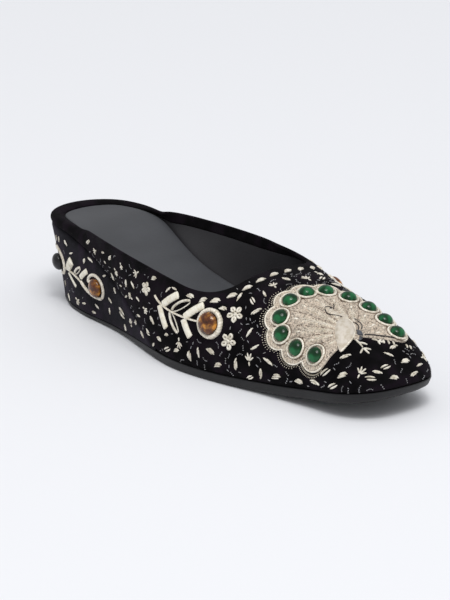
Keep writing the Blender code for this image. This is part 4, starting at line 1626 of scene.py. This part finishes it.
@dataclass
class Spray:
    """A leaf spray: couched cords with satin or outlined leaves beside them."""

    skin: Skin
    cloth: Cloth
    root: Seat
    tip: Seat                     # which way the spray heads
    up: float                     # 1 where the drawing's left is up, -1 where it is down
    leaves: tuple[Leaf, ...]
    cords: tuple[Cord, ...]
    points: int = 48              # along a leaf

    def couch(self, thread: Thread, drawing: list[Numbers], gauge: Gauge,
              fullness: Numbers) -> None:
        """Sew flat lines, laid from the root toward the tip, and reserve their cloth."""
        spots = self.skin.find(np.array([self.root, self.tip]))
        ends = self.skin.at(spots)
        flat = np.stack(drawing) * [1.0, self.up]
        lines = self.skin.stamp(spots[:1], ends[1:] - ends[:1], flat)
        self.cloth.take(self.skin.at(lines[:, ::5]), 2.4)
        self.cloth.sew(thread, lay(self.skin, lines, gauge, fullness))

    def middle(self, leaf: Leaf) -> Numbers:
        """A leaf's middle line: it leaves the spine at its angle and bends forward."""
        way = spoke(np.radians(leaf.angle)) * leaf.length
        half = way * 0.5 - [0.07 * leaf.length, -0.008 * leaf.length * np.sign(leaf.angle)]
        return bowed([(0.0, 0.0), half, way], self.points) + leaf.start

    def build(self) -> None:
        """Lay the cords, the satin leaves and the outlines of the bare ones."""
        for cord in self.cords:
            gauge = Gauge(cord.half, 0.6 + 0.5 * cord.half, 9, 2, 2.2, 0.04)
            self.couch(Thread.CORD, [bowed(cord.controls, 70)], gauge, blunt(70, 0.03))
        filled, wide, outlines, thick = [], [], [], []
        for leaf in self.leaves:
            line = self.middle(leaf)
            if leaf.bare:
                across = unit(np.gradient(line, axis=0))[:, ::-1] * [-1.0, 1.0]
                away = across * (leaf.half * swell(self.points, 0.5))[:, None]
                outlines += [line + away, line - away]
                thick += [1.5, 0.7] if leaf.angle > 0.0 else [0.7, 1.5]
            else:
                filled.append(line)
                wide.append(leaf.half)
        satin = 1.0 + 0.04 * np.cos(np.arange(self.points) * np.pi * 0.9)
        self.couch(Thread.LEAF, filled, Gauge(1.0, 0.5, 12),
                   np.array(wide)[:, None] * (blunt(self.points, 0.05) * satin))
        self.couch(Thread.IVORY, outlines, Gauge(0.45, 0.6, 6),
                   np.array(thick)[:, None] * blunt(self.points, 0.06))


def padded_rings(cloth: Cloth, skin: Skin, stones: StoneKind) -> None:
    """Wrap each stone in a thick padded ring."""
    spots = skin.find(np.array(stones.seats))
    around = skin.headings(spots, np.zeros(len(spots)))
    lines = skin.stamp(spots, around, circle(84)[None] * (stones.radius + 0.95))
    cloth.sew(Thread.PALE, lay(skin, lines, Gauge(1.3, 1.8, 12, 3, 5.0, 0.04), loop=True))
    cloth.take(skin.at(spots), stones.radius + 3.6)


@dataclass(frozen=True, eq=False)
class Stitch:
    """One kind of small motif: flat lines, how thick they are and which thread."""

    lines: Numbers
    gauge: Gauge
    plump: float                  # power of its swell, 0 where it is even
    room: float                   # it keeps to itself
    thread: Thread = Thread.IVORY
    loop: bool = False

    @property
    def fullness(self) -> Numbers:
        """Factor on the thickness along its lines."""
        return swell(self.lines.shape[1], self.plump)


def rays(leans: tuple[float, ...], lengths: tuple[float, ...], start: float) -> Numbers:
    """Straight lines out of one point, at angles and of lengths."""
    return np.stack([spoke(lean) * (start + even(9) * (length - start))[:, None]
                     for lean, length in zip(leans, lengths)])


def strands(*ends: tuple[float, float, float, float]) -> Numbers:
    """Slightly bowed stitches, each given by its two ends."""
    lines = []
    for x0, y0, x1, y1 in ends:
        middle = ((x0 + x1) / 2.0 - 0.1 * (y1 - y0), (y0 + y1) / 2.0 + 0.1 * (x1 - x0))
        lines.append(bowed(((x0, y0), middle, (x1, y1)), 9))
    return np.stack(lines)


def five_rings() -> Numbers:
    """Five small circles round a sixth."""
    petal = circle(16) * [1.2, 0.85] + [2.9, 0.0]
    return np.concatenate([turned(petal, np.arange(5) * TURN / 5), circle(16)[None] * 0.45])


class Motif(Enum):
    """The small motifs, each the size that it is sewn at."""

    FLOWER = Stitch(five_rings(), Gauge(0.70, 0.8, 7), 0.0, 5.0, loop=True)
    PETAL = Stitch(strands((-3.3, -0.95, 2.0, -0.75), (-2.7, 0.0, 3.3, 0.15),
                           (-1.7, 0.95, 2.6, 0.9)),
                   Gauge(0.54, 0.8, 6), 0.35, 3.7)
    SLIM = Stitch(strands((-3.1, -0.25, 1.7, -0.1), (-1.5, 0.45, 3.1, 0.25)),
                  Gauge(0.50, 0.65, 6), 0.35, 3.3)
    COMMA = Stitch(strands((-3.3, -1.1, 0.2, 0.75), (-2.3, -1.3, 1.6, -0.2), (-0.8, 0.5, 3.2, 0.3)),
                   Gauge(0.52, 0.75, 6), 0.35, 3.6)
    PAIR = Stitch(np.stack([bowed(((-3.4, -0.2), (-0.8, 1.2), (2.4, 0.9)), 11),
                            bowed(((-2.2, -1.1), (0.6, -1.1), (3.4, 0.0)), 11)]),
                  Gauge(0.58, 0.6, 6), 0.55, 3.7)
    SPRIG = Stitch(rays((-1.05, -0.45, 0.1, 0.65, np.pi), (3.6, 4.4, 4.4, 3.6, 2.6), 0.2),
                   Gauge(0.48, 0.5, 6), 0.38, 4.2)
    CURL = Stitch(bowed(((-1.4, -0.4), (-1.1, 1.8), (1.2, -1.8), (1.5, 0.6)), 15).reshape(3, 5, 2),
                  Gauge(0.29, 0.34, 5), 0.5, 1.6, Thread.SMOKE)
    DOTS = Stitch(rays((0.7, 0.35, 0.0, -0.35, -0.7), (3.0,) * 5, 2.3) - [2.4, 0.0],
                  Gauge(0.30, 0.36, 5), 0.5, 1.8, Thread.SMOKE)
    DASH = Stitch(bowed(((-1.1, 0.0), (0.0, 0.2), (1.1, 0.0)), 7)[None],
                  Gauge(0.28, 0.33, 5), 0.5, 1.0, Thread.SMOKE)


class Sown(NamedTuple):
    """The place of its own that a motif has."""

    along: float
    across: float
    height: float
    turn: float = 0.0             # from the way to the toe, in degrees
    size: float = 1.0


WALL_CHART = {
    Motif.FLOWER: ((182, 33, 35.5), (183, 38, 23), (122, 42, 35.5), (183, -29, 40.5),
        (186, -35, 26), (128, -33, 36)),
    Motif.PETAL: ((251, 24, 21, 35), (266, 6, 20, 60, 0.9), (261, -5, 24, 80),
        (227, 31, 13, -10, 0.9), (213, 33, 12, 10), (175, 35, 37, 5, 0.8),
        (163, 38, 39, 30, 0.9), (155, 39, 39, -5, 0.95), (173, 41, 16, -30),
        (150, 44, 11, 10, 0.8), (142, 44, 17, 0, 0.6), (128, 41, 42, 10, 0.9)),
    Motif.SLIM: ((256, 1, 27, 35), (263, -12, 21, 105), (207, 33, 18, -25, 1.2),
        (193, 33, 29, 65), (178, 27, 42, 100, 1.1), (140, 41, 39, 40, 0.9),
        (144, 41, 40.5, -15, 0.8), (94, 37, 29, -5, 0.7), (77, 34, 37, -40, 0.5)),
    Motif.COMMA: ((247, 19, 28, 45), (261, 12, 22, 30, 0.9), (267, -6, 20, 95),
        (253, -5, 29, 85), (237, 29, 15, -20, 1.1), (191, 27, 38, 45), (129, 43, 21, -55),
        (129, 42, 8, -145, 0.7), (114, 40, 19, -10, 0.8), (76, 34, 42, -5, 0.75)),
    Motif.PAIR: ((261, 7, 24, 80), (261, 16, 20, 30, 1.0), (248, 28, 16, 25),
        (242, 27, 21, 40, 1.1), (197, 36, 8, 20, 0.7)),
    Motif.SPRIG: ((257, 19, 22, 105, 1.1), (258, -18, 22, 120), (196, 36, 16, 105),
        (152, 44, 16, -80), (113, 41, 41, -145, 1.1), (97, 39, 41, -60, 0.8), (90, 37, 36, -45)),
}
BLOCK_CHART = {
    Motif.PETAL: ((52, 29, 31, 50, 0.55),),
    Motif.SLIM: ((77, 31, 16, -40, 0.7), (76, 31, 10, -85, 0.6), (63, 30, 9, -30, 0.7),
        (30, 24, 5, -55, 0.75), (24, 22, 11, -90, 0.5), (58, 30, 33, -25, 0.85)),
    Motif.COMMA: ((115, 39, 9, -55, 0.7), (83, 32, 23, -70, 0.55), (60, 29, 5, -15, 0.6),
        (33, 28, 36, -55, 0.6), (72, 31, 28, 10, 0.5)),
    Motif.PAIR: ((90, 33, 13, -35, 1.2),),
    Motif.SPRIG: ((42, 27, 7, -25, 0.75),),
}


@dataclass
class Meadow:
    """Small motifs over the velvet: some in places of their own, the rest strewn."""

    skin: Skin
    cloth: Cloth
    chart: dict[Motif, tuple[tuple[float, ...], ...]]     # rows of Sown
    limits: tuple[float, float]   # from where to where along the shoe it is strewn
    wanted: dict[Motif, int]      # how many of each kind to try for
    size: float                   # of the strewn ones
    taper: float                  # size of every one at the heel, against those at the toe
    seed: int
    lean: tuple = (0.4, 0.9)      # middle and spread of a strewn motif's turn, in radians
    sizes: tuple = (0.85, 1.12)   # of strewn motifs, against the meadow's size
    plump: tuple = (0.80, 1.14)   # unevenness of every thread
    crown: float = 3.2            # velvet kept bare below the top edge

    def __post_init__(self) -> None:
        """Start the strewing's own random numbers."""
        self.rng = np.random.default_rng(self.seed)

    def sow(self, wanted: int, room: float) -> Numbers:
        """Spots for one kind of motif, evenly spread by area, each in free cloth.

        Candidates are drawn over the skin and kept in proportion to the area that
        they stand for, then taken one by one where there is room.

        Args:
            wanted: how many spots to find at most.
            room: the motif's own room, which it also keeps from the skin's edges.

        Returns:
            The spots, (found, 2).
        """
        spots = np.c_[self.rng.uniform(0.0, self.skin.last.period, CANDIDATES),
                      self.rng.uniform(0.03, 0.97, CANDIDATES)]
        points, around, up, _ = self.skin.read(spots)
        area = np.linalg.norm(np.cross(around, up), axis=1)
        keep = self.rng.uniform(0.0, np.quantile(area, 0.98), CANDIDATES) < area
        for edge, margin in ((0.0, room * 0.9), (1.0, max(room * 0.9, self.crown))):
            beside = self.skin.at(spots * [1.0, 0.0] + [0.0, edge])
            keep &= np.linalg.norm(beside - points, axis=1) > margin
        along = self.skin.last.read(spots[:, 0]).along
        keep &= (along > self.limits[0]) & (along < self.limits[1])
        found = []
        for spot, point in zip(spots[keep], points[keep]):
            if len(found) < wanted and self.cloth.free(point, room):
                found.append(spot)
                self.cloth.take(point, room)
        return np.array(found).reshape(-1, 2)

    def sew(self, motif: Motif, seats: Numbers, turns: Numbers, sizes: Numbers) -> None:
        """Lay one kind of motif at spots, each turned, sized and a little uneven."""
        stitch = motif.value
        along = self.skin.at(seats)[:, 0]
        sizes = sizes * np.interp(along, (60.0, 205.0, 255.0), (self.taper, 0.97, 0.86))
        drawing = stitch.lines[None] * sizes[:, None, None, None]
        lines = self.skin.stamp(seats, self.skin.headings(seats, turns), drawing)
        full = np.broadcast_to(stitch.fullness, stitch.lines.shape[:2])
        full = (full[None] * np.sqrt(sizes)[:, None, None]).reshape(lines.shape[:2])
        full = full * self.rng.uniform(*self.plump, full.shape)
        self.cloth.sew(stitch.thread, lay(self.skin, lines, stitch.gauge, full, stitch.loop))

    def build(self) -> None:
        """Sew the charted motifs, then strew the rest from large to small."""
        for motif, rows in self.chart.items():
            sown = np.array([Sown(*row) for row in rows])
            seats = self.skin.find(sown[:, :3])
            self.sew(motif, seats, np.radians(sown[:, 3]), sown[:, 4])
            self.cloth.take(self.skin.at(seats), motif.value.room)
        for motif, wanted in self.wanted.items():
            seats = self.sow(wanted, motif.value.room * self.size)
            count = len(seats)
            if count:
                turns = self.rng.normal(*self.lean, count) + np.pi * self.rng.integers(0, 2, count)
                sizes = self.rng.uniform(*self.sizes, count) * self.size
                self.sew(motif, seats, turns, sizes)


@dataclass
class Embroidery:
    """Everything sewn onto the velvet of the upper and the wedge."""

    wall: WallSkin
    block: BlockSkin
    cloth: Cloth

    def throat(self) -> None:
        """A row of petals along the throat, in front of the collar edge."""
        last, gap, pitch = self.wall.last, 7.0, 8.6
        inside = np.flatnonzero(last.table[:, 2] > 160.0) * last.period / TABLE_SIZE
        places = np.linspace(inside[0], inside[-1], 400)
        run = run_along(self.wall.at(self.wall.below_edge(places, gap))[None])[0]
        places = np.interp(np.arange(4.0, run[-1] - 3.0, pitch), run, places)
        seats = self.wall.below_edge(places, gap)
        petal = Motif.PETAL.value
        lines = self.wall.stamp(seats, self.wall.read(seats)[1], 0.9 * petal.lines)
        self.cloth.sew(Thread.IVORY, lay(self.wall, lines, petal.gauge, petal.fullness))
        self.cloth.take(self.wall.at(seats), 3.9)

    def build(self, bench: Bench) -> None:
        """Sew the large motifs, then the small ones round them, and make the pieces."""
        wall, block, cloth = self.wall, self.block, self.cloth
        Fan(wall, cloth).build()
        padded_rings(cloth, wall, AMBER_FORE)
        cloth.take(np.array(BEAD_SEATS + AMBER_HEEL_SEATS), 8.5)
        ends = ((Seat(131.7, 42.4, 32.6), Seat(162.6, 41.2, 28.7), 1.0),
                (Seat(134.5, -35.4, 34.5), Seat(166.0, -35.6, 33.0), -1.0))
        for root, tip, up in ends:
            Spray(wall, cloth, root, tip, up, FORE_LEAVES, FORE_CORDS).build()
        for side in (1.0, -1.0):
            Spray(block, cloth, Seat(29.0, 25.5 * side, 21.0), Seat(64.6, 30.0 * side, 19.8), side,
                  HEEL_LEAVES, HEEL_CORDS).build()
        self.throat()
        Meadow(wall, cloth, WALL_CHART, (57.0, 270.0),
               {Motif.PETAL: 22, Motif.SPRIG: 18, Motif.COMMA: 22, Motif.PAIR: 16, Motif.SLIM: 50,
                Motif.CURL: 80, Motif.DOTS: 60, Motif.DASH: 260}, 0.93, 0.62, 11).build()
        Meadow(block, cloth, BLOCK_CHART, (-1.0, 118.0),
               {Motif.COMMA: 6, Motif.SPRIG: 3, Motif.SLIM: 18, Motif.CURL: 10, Motif.DASH: 26},
               0.62, 1.0, 23).build()
        for thread, shells in cloth.shells.items():
            bench.make(thread.value[0], Shell.joined(shells), thread.value[1], "metal_thread")


# --- studio ---

@dataclass
class Studio:
    """Pale sweep, soft lamps and the camera."""

    azimuth: float = -38.4        # of the camera round the shoe, in degrees
    elevation: float = 17.5
    distance: float = 1.305
    lens: float = 156.0
    pale: tuple = (0.835, 0.842, 0.868)
    half: float = 14.0            # of the floor's width
    air: float = 0.58             # strength of the light from all round

    def floor(self) -> None:
        """A level sweep that reaches past the horizon of the view."""
        mesh = bpy.data.meshes.new("floor")
        square = ((-1, -1), (1, -1), (1, 1), (-1, 1))
        corners = [(x * self.half, y * self.half, 0.0) for x, y in square]
        mesh.from_pydata(corners, [], [(0, 1, 2, 3)])
        made = Recipe("pale_floor", {"Roughness": 0.9, "Specular IOR Level": 0.1})
        tone = made.tones(made.noise(1.5), self.pale, (0.2, 0.995), (0.8, 1.0))
        mesh.materials.append(made.finish(tone))
        put("floor", mesh)

    def hang(self, name: str, data: bpy.types.ID, place: Vector, way: Vector) -> bpy.types.Object:
        """Put a lamp or the camera at a place, facing a way."""
        item = put(name, data)
        item.location = place
        item.rotation_mode = "QUATERNION"
        item.rotation_quaternion = way.to_track_quat("-Z", "Y")
        return item

    def lamp(self, name: str, kind: str, power: float, place: tuple, **settings: object) -> None:
        """Hang one lamp at a place, turned toward the shoe."""
        data = bpy.data.lights.new(name, kind)
        data.energy = power
        for key, value in settings.items():
            setattr(data, key, value)
        self.hang(name, data, Vector(place), -Vector(place))

    def sky(self) -> None:
        """Even pale light from all round."""
        world = bpy.data.worlds.new("studio_air")
        world.use_nodes = True
        background = world.node_tree.nodes["Background"]
        background.inputs["Color"].default_value = (0.97, 0.98, 1.0, 1.0)
        background.inputs["Strength"].default_value = self.air
        bpy.context.scene.world = world

    def camera(self) -> None:
        """Aim at the middle of the shoe from the given angle."""
        middle = (CAD_BOX[0] + CAD_BOX[1]) / 2.0
        turn, climb = np.radians(self.azimuth), np.radians(self.elevation)
        back = Vector((np.sin(turn) * np.cos(climb), -np.cos(turn) * np.cos(climb), np.sin(climb)))
        data = bpy.data.cameras.new("camera")
        data.lens = self.lens
        data.clip_start, data.clip_end = 0.05, 60.0
        camera = self.hang("camera", data, middle + back * self.distance, -back)
        bpy.context.scene.camera = camera

    def build(self) -> None:
        """Set the floor, the light and the camera."""
        self.floor()
        self.sky()
        self.lamp("key", "SUN", 1.3, (-0.5, -0.9, 2.2), angle=0.7)
        self.lamp("sparkle", "AREA", 5.0, (-0.45, -0.75, 1.5), shape="DISK", size=0.36)
        self.camera()
        bpy.context.scene.view_settings.view_transform = "Standard"


def main() -> None:
    """Build the shoe, then the studio round it."""
    logging.basicConfig(level=logging.INFO, format="%(message)s")
    last = Last()
    wall, block = WallSkin(last), BlockSkin(last)
    bench = Bench(wall)
    Upper(wall).build(bench)
    Wedge(last, skin=block).build(bench)
    Outsole(last).build(bench)
    Insole(last, skin=wall).build(bench)
    for kind in STONES:
        kind.build(bench, block if kind.on_block else wall)
    Embroidery(wall, block, Cloth()).build(bench)
    Studio().build()
    LOG.info("%d triangles in all", bench.count)


if __name__ == "__main__":
    main()
